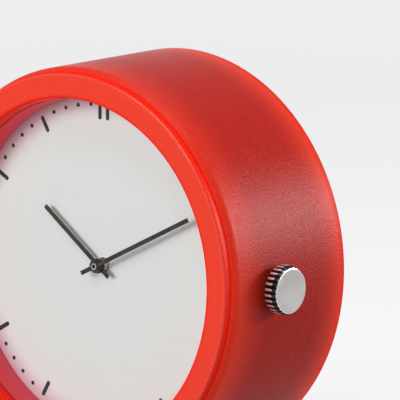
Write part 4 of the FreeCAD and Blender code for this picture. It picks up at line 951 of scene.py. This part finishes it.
def softbox(name, place, width, height, strength):
    """A rectangular lamp that points at the clock; places and sizes are in metres."""
    data = bpy.data.lights.new(name, "AREA")
    data.shape = "RECTANGLE"
    data.size, data.size_y = width, height
    data.energy = strength
    lamp = bpy.data.objects.new(name, data)
    lamp.visible_camera = False
    bpy.context.scene.collection.objects.link(lamp)
    lamp.location = place
    lamp.rotation_euler = (LAMP_AIM - Vector(place)).to_track_quat("-Z", "Y").to_euler()
    return lamp


softbox("key", (-0.20, -1.27, 0.33), 0.90, 0.60, KEY).visible_glossy = False
softbox("top", (0.05, 0.12, 1.25), 0.80, 0.80, TOP)
softbox("back", (0.95, 0.75, 0.12), 0.90, 0.50, BACK)
softbox("strip", (0.69, 0.86, 0.36), 0.42, 0.14, STRIP)
softbox("sheen", (0.69, 0.86, 0.36), 0.42, 0.14, SHEEN).visible_diffuse = False
softbox("glint", (0.40, -0.75, 1.00), 0.30, 0.30, GLINT)


# ---------------------------------------------------------------------------------------
# World and floor
# A pale studio. Camera rays and rays through glass see it near white, reflections see part
# of that, and only the dimmer rest lights the clock. The floor keeps the clock's shadow.

PALE = (0.985, 0.985, 1.0)
WORLD, BACKDROP = 0.13, 0.87
SKY_MIRRORED, FLOOR_MIRRORED = 0.25, 0.62
FLOOR_HALF = 6.0


def seen_straight(paint):
    """Whether a ray comes from the camera or through glass, and whether it is a reflection."""
    camera_ray, passed_ray, glossy_ray = rays(paint, "Camera", "Transmission", "Glossy")
    return camera_ray.maths("MAXIMUM", passed_ray), glossy_ray


class Sky(Paint):
    """The world's shader, dimmer at the horizon than overhead."""

    def __init__(self, color, low, high, backdrop):
        self.material = bpy.data.worlds.new("studio")
        self.material.use_nodes = True
        self.tree = self.material.node_tree
        self.shader = self.tree.nodes["Background"]
        self.set("Color", color)
        here = self.node("ShaderNodeTexCoord", {}, output="Generated")
        sky = low + self.axes(here)[2].between(0.0, 0.9) * (high - low)
        direct, mirrored = seen_straight(self)
        seen = direct.maths("MAXIMUM", mirrored * SKY_MIRRORED)
        self.set("Strength", sky * (1 - seen) + seen * backdrop)


bpy.context.scene.world = Sky(PALE, WORLD * 0.5, WORLD, BACKDROP).material

floor_mesh = bmesh.new()
bmesh.ops.create_grid(floor_mesh, x_segments=1, y_segments=1, size=FLOOR_HALF)
floor = add_mesh("floor", floor_mesh)
pale = Paint("pale_floor", (0.50, 0.50, 0.505), 0.7)
direct, mirrored = seen_straight(pale)
pale.set("Base Color", pale.mix(direct, (0.24, 0.24, 0.245), (0.93, 0.93, 0.935)))
away = pale.radius(pale.node("ShaderNodeTexCoord", {}, output="Object"), "Z")
white = pale.node("ShaderNodeEmission", {}, Color=PALE,
                  Strength=0.955 - away.between(0.15, 0.65) * 0.09)
even = 0.82 + away.between(0.25, 0.8) * 0.18
pale.blend_with(white, direct.maths("MAXIMUM", mirrored * FLOOR_MIRRORED) * even)
floor.data.materials.append(pale.material)

bpy.context.scene.view_settings.view_transform = "Standard"
